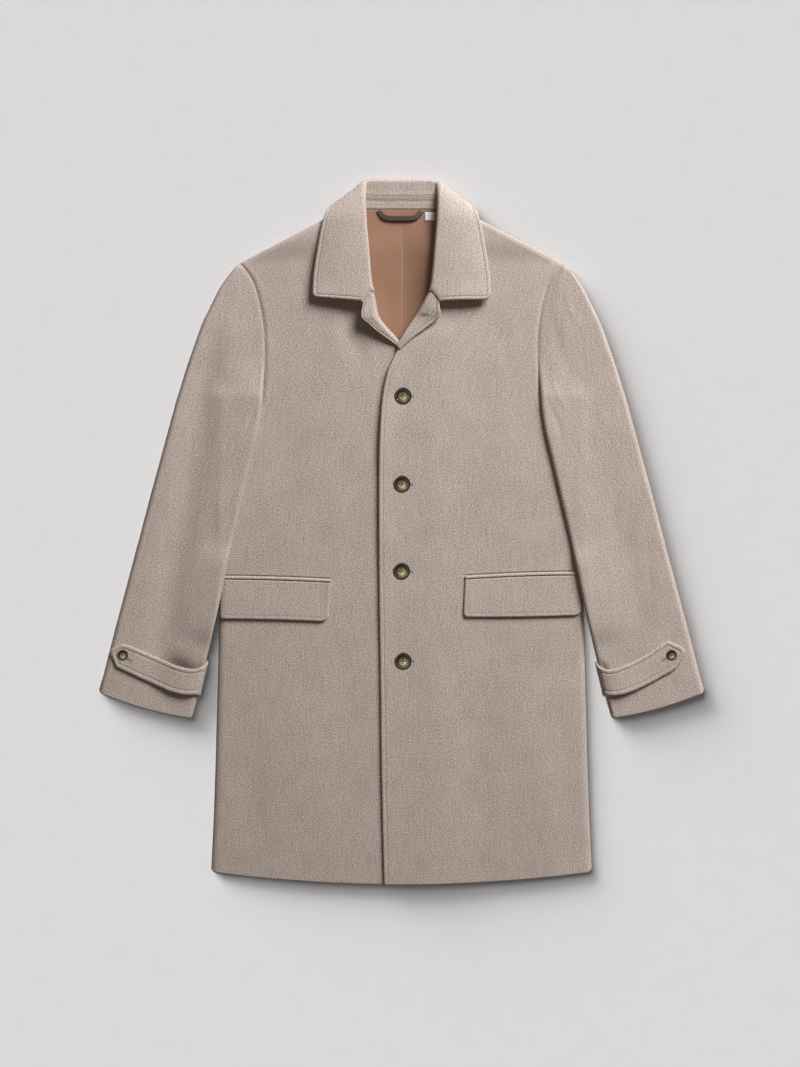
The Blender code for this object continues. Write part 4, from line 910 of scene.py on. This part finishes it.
# %% [markdown]
# The leaf's free edge and the part of its end beyond the notch are turned and topstitched. From the
# fold to the notch the end is sewn down, so there it has no bead, only a shallow sink at the seam.

# %% Collar leaf
NOTCH_AT, GORGE_SINK = 0.0125, 0.6 * MM
LEFT_DROP = 3.0 * MM      # the left leaf's point lies this much lower than the right one's

half, reach = collar_middle(stations)
middle, reach = mirrored(half), np.concatenate([reach, reach[-2::-1]])
drop = smooth(0.02, 0.08, reach[:len(half)]) * (1 - smooth(0, END_FADE, stations))[:, None]
middle[:len(half), :, 1] -= LEFT_DROP * drop
n = normals(middle, np.s_[5, -20])         # up, on the left leaf
lengths = np.linalg.norm(np.diff(middle, axis=1), axis=-1)
to_free = np.pad(np.cumsum(lengths[:, ::-1], axis=1)[:, ::-1], ((0, 0), (0, 1)))
walked = np.cumsum(np.linalg.norm(np.diff(middle, axis=0, prepend=middle[:1]), axis=-1), axis=0)
to_end = np.minimum(walked, walked[-1] - walked)
sewn = 1 - smooth(NOTCH_AT - 0.002, NOTCH_AT + 0.002, reach)
from_edge = np.maximum(nearer(to_free, to_end + sewn), 0)
proud = topstitched(from_edge, COLLAR) - GORGE_SINK * sewn * bell(to_end, 1.1 * MM)
outer = middle + n * (COLLAR / 2 + proud)[..., None]
inner = middle - n * (COLLAR / 2 + 0.4 * edge_roll(from_edge, COLLAR))[..., None]
# the leaf takes the wool that is painted paler: painted light where more light falls on it
cloth_piece("collar_leaf", outer, inner, lighter_painted_wool, outer[..., :2])
stitched["collar_leaf"] = from_edge / STITCH_IN

# %% [markdown]
# ## Collar stand
# The stand is the narrow band between the neck seam and the leaf. Seen in the neck it shows as a
# second band under the leaf, with one row of stitches just below the seam that joins them.

# %% Collar stand
STAND_JOIN, STAND_STITCH, STAND_DIP = -1.0 * MM, 9.5 * MM, 0.35 * MM
STAND_BEAD, BEAD_FADE = 0.20 * MM, (6 * MM, 10 * MM)

apex, _, foot, out, up, c = collar_frame(stations)
head = apex + out * (c["tuck"] + STAND_JOIN) - up * c["fold"] / 2
t = np.concatenate([np.linspace(0, 0.55, 10), np.linspace(0.57, 1, 28)])[None, :, None]
half = foot[:, None] + (head - foot)[:, None] * t
below = np.linalg.norm(half - half[:, -1:], axis=-1)
half = half - up[:, None] * seam_ridge(stations[:, None], below)[..., None]
half[..., 1] += end_shift(stations, 0 * stations)[:, None]
middle = mirrored(half)
n = normals(middle, np.s_[len(middle) // 2, -5])      # up, behind the neck
down = np.linalg.norm(middle - middle[:, -1:], axis=-1)
proud = STAND_BEAD * (1 - smooth(*BEAD_FADE, down) + bell(down - 4 * MM, 2.4 * MM))
proud = proud - STAND_DIP * bell(down - STAND_STITCH, 1.6 * MM)
proud = proud + 0.45 * edge_roll(np.linalg.norm(middle - middle[:, :1], axis=-1), STAND)
outer = middle + n * (STAND / 2 + proud)[..., None]
cloth_piece("collar_stand", outer, middle - n * STAND / 2, wool, outer[..., :2])
stitched["collar_stand"] = down / STAND_STITCH

# %% [markdown]
# ## Lapels
# A lapel is the top of the front turned back on itself. The solid is a separate flap, so here the
# cloth is carried round the roll line in half an ellipse, down to the front's own edge, and the
# two read as one folded piece. The upper end goes into the collar's end, as it does in the seam.

# %% Lapels
# roll line x and y, outer edge x and y, height above the front, and its share at the roll line
LAPELS = {
    LEFT: np.array([
        (0.0426, 0.3476, 0.0557, 0.3328, 0.0096, 0.85), (0.0368, 0.3367, 0.0548, 0.3240, 0.0092, 0.80),
        (0.0320, 0.3270, 0.0563, 0.3165, 0.0086, 0.70), (0.0270, 0.3180, 0.0557, 0.3100, 0.0068, 0.64),
        (0.0220, 0.3100, 0.0470, 0.3020, 0.0040, 0.60), (0.0150, 0.2995, 0.0330, 0.2913, 0.0022, 0.60),
        (0.0073, 0.2881, 0.0180, 0.2805, 0.0012, 0.50), (0.0000, 0.2755, 0.0070, 0.2706, 0.0006, 0.40),
        (-0.0058, 0.2665, -0.0015, 0.2622, 0.0003, 0.40)]),
    RIGHT: np.array([
        (0.0426, 0.3476, 0.0560, 0.3335, 0.0096, 0.85), (0.0392, 0.3330, 0.0568, 0.3235, 0.0106, 0.76),
        (0.0372, 0.3210, 0.0586, 0.3150, 0.0116, 0.64), (0.0345, 0.3105, 0.0583, 0.3085, 0.0118, 0.52),
        (0.0297, 0.3028, 0.0495, 0.3002, 0.0102, 0.42), (0.0222, 0.2933, 0.0365, 0.2887, 0.0078, 0.34),
        (0.0150, 0.2853, 0.0243, 0.2796, 0.0048, 0.28), (0.0090, 0.2783, 0.0138, 0.2723, 0.0022, 0.20),
        (0.0040, 0.2722, 0.0078, 0.2678, 0.0005, 0.20)]),
}
ROLL_BULGE = 2.3 * MM
LAPEL_STITCH = {LEFT: STITCH_IN, RIGHT: 3.2 * MM}


def lapel_face(side, row, across):
    """Outer face: above the front by its thickness, and the rise times (share + (1 - share) times
    a quarter circle across). Also the lapel's width."""
    table = LAPELS[side]
    x0, y0, x1, y1, rise, share = (curve(row, np.arange(len(table)), table[:, i]) for i in range(6))
    x, y = x0 + (x1 - x0) * across, y0 + (y1 - y0) * across
    z = front_top(side, x, y) + REST + WOOL + rise * (share + (1 - share) * quarter(across, 0.35))
    return np.stack([side * x, y, z], axis=-1), np.hypot(x1 - x0, y1 - y0)


row = np.concatenate([0.5 * np.linspace(0, 1, 10) ** 1.4, np.linspace(0.5, 8, 76)[1:]])
across = np.concatenate([0.10 * np.linspace(0, 1, 6) ** 1.6, np.linspace(0.12, 0.55, 16),
                         1 - 0.44 * np.linspace(1, 0, 34) ** 1.2])
row, over = np.meshgrid(row, across, indexing="ij")
angle = np.linspace(np.pi, 0, 18)[None, :-1, None]
for hand, side in HANDS:
    face, wide = lapel_face(side, row, over)
    away = unit((face[:, 0] - face[:, 20]) * np.array([1, 1, 0]))
    foot_z = front_top(side, side * face[:, 0, 0], face[:, 0, 1]) - WOOL
    tall = ((face[:, 0, 2] - foot_z) / 2)[:, None, None] * np.array([0, 0, 1.0])
    roll = face[:, :1] - tall + tall * np.cos(angle) + ROLL_BULGE * np.sin(angle) * away[:, None]
    grid = np.concatenate([roll, face], axis=1)
    n = normals(grid, np.s_[:, -10:])          # up, by the outer edge
    inset = np.minimum(LAPEL_STITCH[side], 0.6 * wide)
    gap = (1 - over) * wide
    proud = topstitched(gap, WOOL, inset)
    outer = grid + n * np.pad(proud, ((0, 0), (roll.shape[1], 0)))[..., None]
    stitched[f"lapel_{hand}"] = np.pad(gap / inset, ((0, 0), (roll.shape[1], 0)), constant_values=9)
    cloth_piece(f"lapel_{hand}", outer, grid - n * 0.9 * WOOL, wool)

# %% [markdown]
# ## Pockets
# Each front has a flap that hangs from a narrow welt. Both follow the front's face. The flap's
# lower corners are round and its lower edge stands a little away from the coat. Its row of
# stitches is pressed in less than the others, and its upper edge turns down behind the welt.

# %% Pockets
FLAP_STAND, FLAP_PRESS, FLAP_WAVE = 0.0010, 0.3, 0.4 * MM


def on_front(side, x, y, out):
    """Points moved straight out from the front's face, by its slopes in x and y."""
    step = 0.5 * MM
    slope_x = (front_top(side, x + step, y) - front_top(side, x - step, y)) / (2 * step)
    slope_y = (front_top(side, x, y + step) - front_top(side, x, y - step)) / (2 * step)
    length = np.sqrt(1 + slope_x ** 2 + slope_y ** 2)
    points = np.stack([x - out * slope_x / length, y - out * slope_y / length,
                       front_top(side, x, y) + out / length], axis=-1)
    return points * np.array([side, 1, 1])


dense = np.concatenate([0.065 * np.linspace(0, 1, 26) ** 1.3, np.linspace(0.075, 0.5, 38)])
columns = np.concatenate([dense, 1 - dense[-2::-1]])
levels = np.concatenate([0.06 * np.linspace(0, 1, 8) ** 1.4, np.linspace(0.08, 0.82, 22),
                         1 - 0.17 * np.linspace(1, 0, 26) ** 1.2])
for hand, side in HANDS:
    x0, x1 = POCKETS[side][0], POCKETS[side][2]
    inner_deep, outer_deep, sag, inner_corner, outer_corner, slant = FLAPS[side]
    along, down = np.meshgrid(columns, levels, indexing="ij")
    from_end = np.minimum(along, 1 - along) * (x1 - x0)
    radius = np.where(along < 0.5, inner_corner, outer_corner)
    tall = inner_deep + (outer_deep - inner_deep) * along + sag * 4 * along * (1 - along)
    tall = tall - radius * (1 - quarter(from_end, radius))
    x = x0 + (x1 - x0) * along + slant * down * (1 - along)
    y = pocket_line(side, along) - tall * down
    from_edge = np.maximum(nearer(from_end, tall * (1 - down)), 0)
    low = REST + FLAP_STAND * down ** 2
    proud = topstitched(from_edge, TRIM, share=FLAP_PRESS) + 0.6 * edge_roll(tall * down, TRIM)
    proud = proud + FLAP_WAVE * np.sin(np.pi * down) * np.sin(3.3 * along + side)
    stitched[f"pocket_flap_{hand}"] = from_edge / STITCH_IN
    cloth_piece(f"pocket_flap_{hand}", on_front(side, x, y, low + TRIM + proud),
                on_front(side, x, y, low), wool)
    along, down = np.meshgrid(columns[::2], np.linspace(0, 1, 17), indexing="ij")
    x = x0 + (x1 - x0) * along
    y = pocket_line(side, along) + SEAM + WELT_TALL * (1 - down)
    crest = quarter(0.5 - abs(down - 0.5), 0.42)
    crest = crest * quarter(np.minimum(along, 1 - along) * (x1 - x0) + 0.0005, 0.003)
    cloth_piece(f"pocket_welt_{hand}", on_front(side, x, y, REST + TRIM * (0.2 + 1.05 * crest)),
                on_front(side, x, y, REST + 0 * x), wool)

# %% [markdown]
# ## Buttons
# A button is turned from one profile, with a domed rim and a dished middle, and has four holes.
# A boolean could cut the holes, but here the surface is one function of ring and angle, and it
# dips steeply at each hole. Thread crosses from hole to hole and goes down to the cloth.

# %% Buttons
PROFILE = np.array([(0, 0), (0.62, 0), (0.90, 0.26), (1.0, 0.62), (0.96, 0.88), (0.86, 1.0),
                    (0.72, 0.97), (0.58, 0.86), (0.40, 0.78), (0, 0.74)])
DISH = 6                  # the profile's row where the dished middle begins
HOLE_RING, HOLE_SIZE, HOLE_DEEP = 0.21, 0.095, 0.45
FRONT_RADIUS, FRONT_TALL, CUFF_RADIUS, CUFF_TALL = 0.0125, 0.0042, 0.0080, 0.0034
SHANK_GAP = 1.0 * MM
CUFF_BUTTONS = {LEFT: (0.760, 0.0632), RIGHT: (0.851, 0.0594)}


def make_button(node, centre, radius, tall):
    """Surface of revolution with four dips: height minus a soft step inside each hole."""
    steps = np.concatenate([np.linspace(0, DISH, 40), np.linspace(DISH + 0.1, len(PROFILE) - 1, 44)])
    ring, height = (curve(steps, np.arange(len(PROFILE)), PROFILE[:, i])[:, None] for i in (0, 1))
    angle = np.linspace(0, 2 * np.pi, 73)[None, :-1]
    ux, uy = ring * np.cos(angle), ring * np.sin(angle)
    holes = HOLE_RING * np.array([(1, 0), (0, 1), (-1, 0), (0, -1)])
    gap = np.min([np.hypot(ux - hx, uy - hy) for hx, hy in holes], axis=0)
    dip = np.where(steps[:, None] > DISH, HOLE_DEEP * (1 - smooth(0.7, 1.1, gap / HOLE_SIZE)), 0)
    points = np.stack([centre[0] + radius * ux, centre[1] + radius * uy,
                       centre[2] + tall * (height - dip)], axis=-1)
    index = np.arange(dip.size).reshape(dip.shape)
    closed = np.concatenate([index, index[:, :1]], axis=1)
    uv = np.stack([ux, uy], axis=-1).reshape(-1, 2)
    made = mesh_piece(f"{node}_turned", points.reshape(-1, 3), quads(closed), horn, uv, "turned")
    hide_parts(node)
    return made, centre, radius, tall


buttons = []
for number, (bx, by) in enumerate(FRONT_BUTTONS, 1):
    spot = np.array([bx, by, float(front_top(LEFT, bx, by)) + SHANK_GAP])
    buttons.append(make_button(f"front_button_{number}", spot, FRONT_RADIUS, FRONT_TALL))
for hand, side in HANDS:
    share, up = CUFF_BUTTONS[side]
    spot = sleeve_top(side, np.array(CUFF_ROW - up / ROW_SPAN), np.array(share))
    spot = spot + np.array([0, 0, REST + TRIM + SHANK_GAP])
    buttons.append(make_button(f"cuff_button_{hand}", spot, CUFF_RADIUS, CUFF_TALL))
print("buttons:", len(buttons))

# %% [markdown]
# ## Neck: lining, loop and label
# Inside the neck the lining shows, with a pleat down the middle of the back that gives room to
# move. One side lies over the other along the pleat's fold, so the fold is a small step, and both
# sides rise away from it toward the fronts.

# %% Lining
LINING_THICK, LINING_FROM, PLEAT_STEP = 1.0 * MM, 0.33, 1.0 * MM
LINING_WAVES = ((0.45, -0.046, 0.25, -0.038, 0.010, 0.0005), (0.44, 0.030, 0.28, 0.024, 0.009, 0.0004),
                (0.40, -0.022, 0.24, -0.016, 0.008, -0.0003), (0.46, 0.055, 0.30, 0.050, 0.010, 0.0004))


def lining_top(x, y):
    """The back's height, but with a longer step up to the collar, and a pleat: one step down across
    its fold, and both sides rise away from it."""
    sides = 1.2 * MM * smooth(0, 0.050, -x) + 4.2 * MM * smooth(0, 0.045, x)
    step = PLEAT_STEP * (1 - smooth(-0.3 * MM, 1.1 * MM, x))
    lift = FALL_RAISE * smooth(LINING_FROM, FALL_TO, y)
    return BACK + lift + REST + LINING_THICK + (sides + step) * (1 - smooth(0.40, 0.45, y))


columns = np.concatenate([np.linspace(-0.084, -0.017, 34), np.linspace(-0.016, -0.001, 22),
                          np.linspace(-0.0007, 0.0034, 24), np.linspace(0.005, 0.084, 40)])
y, x = np.meshgrid(np.linspace(0.236, 0.4655, 100), columns, indexing="ij")
top = np.stack([x, y, lining_top(x, y) + crease(LINING_WAVES, y, x)], axis=-1)
cloth_piece("back_lining", top, top - np.array([0, 0, 0.8 * LINING_THICK]), lining)

# %% [markdown]
# A ribbon loop for the coat hook and a small blank label are sewn in under the stand. The loop is
# a strip across a curved path, so it bends as ribbon does, and it bows up off the lining.

# %% Loop and label
LOOP = np.array([(-0.0335, 0.4632), (-0.0290, 0.4575), (-0.0235, 0.4530), (-0.0100, 0.4515),
                 (0.0060, 0.4515), (0.0185, 0.4528), (0.0245, 0.4570), (0.0288, 0.4630)])
LOOP_WIDE, LOOP_THICK, LOOP_BOW = 0.0080, 1.2 * MM, 0.0022
LABEL, LABEL_SIZE, LABEL_THICK = (0.0408, 0.4546), (0.0146, 0.0120), 0.8 * MM

share = np.linspace(0, 1, 90)
path = np.stack([curve(share * (len(LOOP) - 1), np.arange(len(LOOP)), LOOP[:, i]) for i in (0, 1)], axis=1)
way = unit(np.gradient(path, axis=0))
over = np.linspace(-0.5, 0.5, 13)[None, :]
x = path[:, :1] - way[:, 1:] * LOOP_WIDE * over
y = np.minimum(path[:, 1:] + way[:, :1] * LOOP_WIDE * over, 0.4634)
z = lining_top(x, y) + SEAM + LOOP_BOW * np.sin(np.pi * share)[:, None]
thick = LOOP_THICK * (0.35 + 0.65 * quarter(0.5 - abs(over), 0.12))
cloth_piece("hanger_loop", np.stack([x, y, z + thick], axis=-1), np.stack([x, y, z], axis=-1),
            trim["ribbon_ribbed"])

u, v = np.meshgrid(np.linspace(-0.5, 0.5, 25), np.linspace(-0.5, 0.5, 21), indexing="ij")
x, y = LABEL[0] + LABEL_SIZE[0] * u, LABEL[1] + LABEL_SIZE[1] * v
gap = np.minimum(LABEL_SIZE[0] * (0.5 - abs(u)), LABEL_SIZE[1] * (0.5 - abs(v)))
z = lining_top(x, y) + SEAM
thick = LABEL_THICK * (0.45 + 0.55 * quarter(gap, 0.6 * MM))
cloth_piece("size_label", np.stack([x, y, z + thick], axis=-1), np.stack([x, y, z], axis=-1),
            trim["label_woven_tape"])

# %% [markdown]
# ## Sewing
# Topstitching is a row of short stitches that sink into the cloth a few millimetres from an edge.
# One stitch is a small spindle of a few faces. The row's path is where the distance from the edge,
# kept for each piece, crosses the stitching distance. Buttonholes are made of the same spindles,
# set side by side across the slit.

# %% Spindles of thread
STITCH, PITCH, THREAD = 3.2 * MM, 4.0 * MM, 0.28 * MM
UP = np.array([0.0, 0.0, 1.0])


def spindles(name, centre, way, up, length, radius, finish):
    """Spindles: five rings of six points along the way, narrow at both ends, slightly arched."""
    way = unit(way)
    cross = unit(np.cross(way, up))
    up = np.cross(cross, way)
    place = np.array([-1, -0.62, 0, 0.62, 1])[None, :, None, None]
    size = radius * np.array([0.3, 0.9, 1, 0.9, 0.3])[None, :, None, None]
    angle = np.linspace(0, 2 * np.pi, 7)[None, None, :-1, None]
    c, w, s, u = (a[:, None, None, :] for a in (centre, way, cross, up))
    around = s * np.cos(angle) + u * np.sin(angle)
    points = c + w * place * length / 2 + size * around - u * 0.8 * radius * place ** 2
    ring = np.arange(30).reshape(5, 6)
    one = np.concatenate([quads(np.concatenate([ring, ring[:, :1]], axis=1)),
                          ring[0][[[3, 2, 1, 0], [5, 4, 3, 0]]], ring[4][[[0, 1, 2, 3], [0, 3, 4, 5]]]])
    faces = (one[None] + 30 * np.arange(len(centre))[:, None, None]).reshape(-1, 4)
    made = mesh_piece(name, points.reshape(-1, 3), faces, finish)
    print(f"{name}: {len(centre)} stitches")
    return made


def row_path(grid, share):
    """Walks in from the last column of each row to where the share passes 1, and interpolates."""
    d, g = share[:, ::-1], grid[:, ::-1]
    k = np.argmax(d >= 1, axis=1)
    rows = np.nonzero((d.max(axis=1) > 1) & (k > 0))[0]
    k = k[rows]
    t = ((1 - d[rows, k - 1]) / (d[rows, k] - d[rows, k - 1]))[:, None]
    return g[rows, k - 1] + (g[rows, k] - g[rows, k - 1]) * t


def sew(name, *paths):
    """One mesh of stitches, at an even pitch along each path and turned the way it runs there."""
    spots, ways = [], []
    for path in paths:
        walked = np.concatenate([[0], np.cumsum(np.linalg.norm(np.diff(path, axis=0), axis=1))])
        at = np.arange(PITCH / 2, walked[-1], PITCH)
        behind, here, ahead = (np.stack([np.interp(at + s, walked, path[:, i]) for i in range(3)], axis=1)
                               for s in (-0.3 * PITCH, 0, 0.3 * PITCH))
        spots.append(here)
        ways.append(ahead - behind)
    spots = np.concatenate(spots) + UP * 0.15 * MM
    return spindles(name, spots, np.concatenate(ways), np.tile(UP, (len(spots), 1)), STITCH, THREAD,
                    trim["thread_wool_tone"])


print("one stitch:", STITCH / MM, "mm long, every", PITCH / MM, "mm")

# %% [markdown]
# Each row is read from a grid whose sewn edge comes last. Turning or flipping the grid puts another
# edge last, so one function serves the four sides of a flap.

# %% Rows of stitches
END_ROWS, LEAF_COLUMNS, STAND_SEEN = 100, 30, 0.06

sewing = {}
grid, share = faces_of["front_left"][:, ::-1], stitched["front_left"][:, ::-1]
path = row_path(grid, share)
sewing["front_left"] = [sew("stitches_front_edge", path[path[:, 1] < LAPEL_FOOT])]
grid, share = faces_of["collar_leaf"], stitched["collar_leaf"]
end = np.s_[:END_ROWS, LEAF_COLUMNS:]
ends = [row_path(np.swapaxes(g[end], 0, 1)[:, ::-1], d[end].T[:, ::-1])
        for g, d in ((grid, share), (grid[::-1], share[::-1]))]
sewing["collar_leaf"] = [sew("stitches_collar", row_path(grid, share), *ends)]
path = row_path(faces_of["collar_stand"], stitched["collar_stand"])
sewing["collar_stand"] = [sew("stitches_stand", path[abs(path[:, 0]) < STAND_SEEN])]
for hand in ("left", "right"):
    node = f"lapel_{hand}"
    sewing[node] = [sew(f"stitches_{node}", row_path(faces_of[node], stitched[node]))]
    node = f"pocket_flap_{hand}"
    grid, share = faces_of[node], stitched[node]
    turned, turned_share = np.swapaxes(grid, 0, 1), share.T
    sewing[node] = [sew(f"stitches_{node}", row_path(grid, share), row_path(turned, turned_share),
                        row_path(turned[:, ::-1], turned_share[:, ::-1]))]
    node = f"cuff_strap_{hand}"
    grid, share = faces_of[node], stitched[node]
    sewing[node] = [sew(f"stitches_{node}", row_path(grid, share),
                        row_path(grid[:, ::-1], share[:, ::-1]))]

# %% [markdown]
# A buttonhole is cut and then sewn over by hand or machine, with stitches square to the slit and a
# fan of them at its end. Four are on the front, one on the left lapel and one on each strap.

# %% Buttonholes
SLIT_PITCH, SLIT_STITCH, SLIT_THREAD = 0.62 * MM, 2.0 * MM, 0.34 * MM
FRONT_SLIT, CUFF_SLIT = (-0.004, 0.0155), 0.097
LAPEL_SLIT = (0.0285, 0.3129), (0.0380, 0.3135)


def resting(node, flat):
    """Height of a piece's face at places seen from above: that of its nearest grid point."""
    grid = faces_of[node].reshape(-1, 3)
    gap = np.hypot(*(flat[:, None, i] - grid[None, :, i] for i in (0, 1)))
    return grid[gap.argmin(axis=1), 2]


def buttonhole(name, node, start, finish):
    """Stitches across a slit on both sides, and a fan of them round its far end."""
    start, finish = np.array(start), np.array(finish)
    way = unit(finish - start)
    side_way = np.array([-way[1], way[0]])
    run = np.arange(0, np.linalg.norm(finish - start), SLIT_PITCH)[:, None]
    turn = np.radians(np.linspace(-75, 75, 8))[:, None]
    spread = way * np.cos(turn) + side_way * np.sin(turn)
    flat = np.concatenate([start + way * run + side_way * MM, start + way * run - side_way * MM,
                           finish + spread * MM])
    ways = np.concatenate([np.tile(side_way, (2 * len(run), 1)), spread])
    centre = np.column_stack([flat, resting(node, flat) + 0.15 * MM])
    made = spindles(name, centre, np.column_stack([ways, 0 * ways[:, 0]]), np.tile(UP, (len(flat), 1)),
                    SLIT_STITCH, SLIT_THREAD, trim["thread_wool_tone"])
    sewing[node].append(made)


for number, (bx, by) in enumerate(FRONT_BUTTONS, 1):
    buttonhole(f"buttonhole_{number}", "front_left", (bx + FRONT_SLIT[0], by), (bx + FRONT_SLIT[1], by))
buttonhole("buttonhole_lapel", "lapel_left", *LAPEL_SLIT)
for hand, side in HANDS:
    share = CUFF_BUTTONS[side][0] - np.array([0.0, CUFF_SLIT])
    ends = strap_face(side, share, np.zeros(2))[0]
    buttonhole(f"buttonhole_cuff_{hand}", f"cuff_strap_{hand}", ends[0, :2], ends[1, :2])

# %% [markdown]
# Each button is sewn on with crossed thread through its four holes, over a short shank that keeps
# it off the cloth.

# %% Thread on the buttons
SHANK_LONG, SHANK_WIDE = 2.2 * MM, 2.0 * MM

flat = np.array([(1, 0), (0, 1), (1, 0), (0, 1)])
beside = np.array([(0, 1), (1, 0), (0, -1), (-1, 0)]) * 0.25 * MM
for number, (made, spot, radius, tall) in enumerate(buttons, 1):
    centre = np.column_stack([spot[:2] + beside, np.full(4, spot[2] + 0.80 * tall)])
    spindles(f"button_thread_{number}", centre, np.column_stack([flat, np.zeros(4)]),
             np.tile(UP, (4, 1)), 2.3 * HOLE_RING * radius, 0.3 * MM, trim["thread_button"])
    spindles(f"button_shank_{number}", spot[None] - UP * 0.3 * MM, UP[None], np.array([[1.0, 0, 0]]),
             SHANK_LONG, SHANK_WIDE, trim["thread_button"])

# %% [markdown]
# ## The cut of each sheet
# Every piece of cloth was cut flat before it was sewn. For each one this says its flat width and
# length, how it is held and what it lies on. Sewing belongs to the cloth that it is in, each welt
# to its flap, and the loop to the lining.

# %% Flat sizes
SHEETS = {
    "back": (0.550, 0.978, "laid", ("floor",)),
    "front_left": (0.308, 0.972, "laid", ("back", "front_right")),
    "front_right": (0.308, 0.972, "laid", ("back",)),
    "top_sleeve_left": (0.150, 0.665, "laid", ("under_sleeve_left",)),
    "top_sleeve_right": (0.150, 0.665, "laid", ("under_sleeve_right",)),
    "under_sleeve_left": (0.139, 0.665, "laid", ("floor", "front_left")),
    "under_sleeve_right": (0.139, 0.665, "laid", ("floor", "front_right")),
    "cuff_strap_left": (0.150, 0.041, "laid", ("top_sleeve_left",)),
    "cuff_strap_right": (0.150, 0.041, "laid", ("top_sleeve_right",)),
    "collar_leaf": (0.500, 0.120, "folded", ("collar_stand", "front_left", "front_right")),
    "collar_stand": (0.360, 0.022, "laid", ("back",)),
    "lapel_left": (0.095, 0.040, "folded", ("front_left",)),
    "lapel_right": (0.095, 0.040, "folded", ("front_right",)),
    "pocket_flap_left": (0.172, 0.060, "laid", ("front_left",)),
    "pocket_flap_right": (0.172, 0.060, "laid", ("front_right",)),
    "back_lining": (0.170, 0.2320, "laid", ("back",)),
    "size_label": (0.0152, 0.0124, "laid", ("back_lining",)),
}
sewing["pocket_flap_left"].append(cloths["pocket_welt_left"])
sewing["pocket_flap_right"].append(cloths["pocket_welt_right"])
sewing["back_lining"] = [cloths["hanger_loop"]]
for node, (wide, long, held, below) in SHEETS.items():
    print(f"{node}: {areas[node] / (wide * long):.3f} of the flat rectangle")

# %% [markdown]
# ## Floor
# The coat lies on a plain pale floor of matt paper, with fibres too faint to draw the eye. The floor
# is stage, not part of the coat, so it is marked as such.

# %% Floor
FIBRE, FLOOR_HALF, FLOOR_Z = 33 * MM, 4.0, -0.4 * MM

floor_finish, tree, shader = new_finish("floor_matt_paper")
place = add(tree, "ShaderNodeTexCoord").outputs["Object"]
fibre = add(tree, "ShaderNodeTexNoise", inputs={"Vector": place, "Scale": 1 / FIBRE, "Detail": 2.0})
colour = add(tree, "ShaderNodeValToRGB", inputs={"Fac": fibre.outputs["Fac"]},
             stops=((0.3, "#dedcdc"), (0.7, "#e0dede")))
tree.links.new(colour.outputs["Color"], shader.inputs["Base Color"])
shader.inputs["Roughness"].default_value = 0.95
shader.inputs["Specular IOR Level"].default_value = 0.0
corners = [(x * FLOOR_HALF, y * FLOOR_HALF, FLOOR_Z) for x, y in ((-1, -1), (1, -1), (1, 1), (-1, 1))]
mesh = bpy.data.meshes.new("floor")
mesh.from_pydata(corners, [], [(0, 1, 2, 3)])
mesh.materials.append(floor_finish)
floor = bpy.data.objects.new("floor", mesh)
bpy.context.scene.collection.objects.link(floor)
floor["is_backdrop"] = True
print("floor:", floor.dimensions[:])

# %% [markdown]
# ## Light
# A soft lamp stands low at the upper right, so that creases and edges show by their shading. A weak
# warm fill without shadows stands for light that the cloth throws back. The floor and the buttons
# get three wide, even lights instead, two from the upper left and one from above: the floor stays
# one tone with a soft shadow. Light linking says which lamp falls on what.


# %% Lights
def aim(lamp, place, target=(0, 0, 0)):
    """Puts a lamp at a place and turns its beam to the target."""
    lamp.location = place
    lamp.rotation_euler = (Vector(target) - Vector(place)).to_track_quat("-Z", "Y").to_euler()
    bpy.context.scene.collection.objects.link(lamp)


def link_to(lamp, name, objects, state):
    """Links a lamp to some objects, or keeps it off them; those kept off cast no shadow in it."""
    group = bpy.data.collections.new(name)
    for item in objects:
        group.objects.link(item)
    lamp.light_linking.receiver_collection = group
    if state == "EXCLUDE":
        lamp.light_linking.blocker_collection = group
    for entry in group.collection_objects:
        entry.light_linking.link_state = state


turned_pieces = [made for made, *_ in buttons]
key = bpy.data.objects.new("key", bpy.data.lights.new("key", "AREA"))
key.data.shape, key.data.size, key.data.energy = "DISK", 2.4, 346
key.data.color = (0.95, 0.97, 1.0)
aim(key, (2.07, 3.31, 2.25), (0, 0.05, 0))
link_to(key, "not_on_floor", [floor] + turned_pieces, "EXCLUDE")
fill = bpy.data.objects.new("warm_fill", bpy.data.lights.new("warm_fill", "SUN"))
fill.data.energy, fill.data.color, fill.data.use_shadow = 0.20, (1.0, 0.74, 0.60), False
aim(fill, (0.3, 0.3, 2.0))
link_to(fill, "not_on_floor_either", [floor], "EXCLUDE")
# place, strength and angle of the three floor lights
FLOOR_LIGHTS = {
    "floor_light": ((-1.2, 1.3, 1.02), 2.80, 70),
    "floor_light_low": ((-1.2, 1.3, 0.22), 8.1, 40),
    "floor_light_top": ((0.0, 0.0, 2.0), 0.19, 20),
}
for name, (place, energy, angle) in FLOOR_LIGHTS.items():
    sun = bpy.data.objects.new(name, bpy.data.lights.new(name, "SUN"))
    sun.data.energy, sun.data.angle = energy, math.radians(angle)
    aim(sun, place)
    link_to(sun, f"on_{name}", [floor] + turned_pieces, "INCLUDE")
world = bpy.context.scene.world or bpy.data.worlds.new("studio")
bpy.context.scene.world = world
world.use_nodes = True
world.node_tree.nodes["Background"].inputs["Color"].default_value = (1, 1, 1, 1)
world.node_tree.nodes["Background"].inputs["Strength"].default_value = 0.06
print("lights:", [lamp.name for lamp in bpy.data.lights])

# %% [markdown]
# ## Size
# Last, the finished coat's box is measured and printed. The cloth has to stay within a few
# millimetres of the solids.

# %% Size and finish
low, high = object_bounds()
print("visual size:", [round(b - a, 4) for a, b in zip(low, high)])
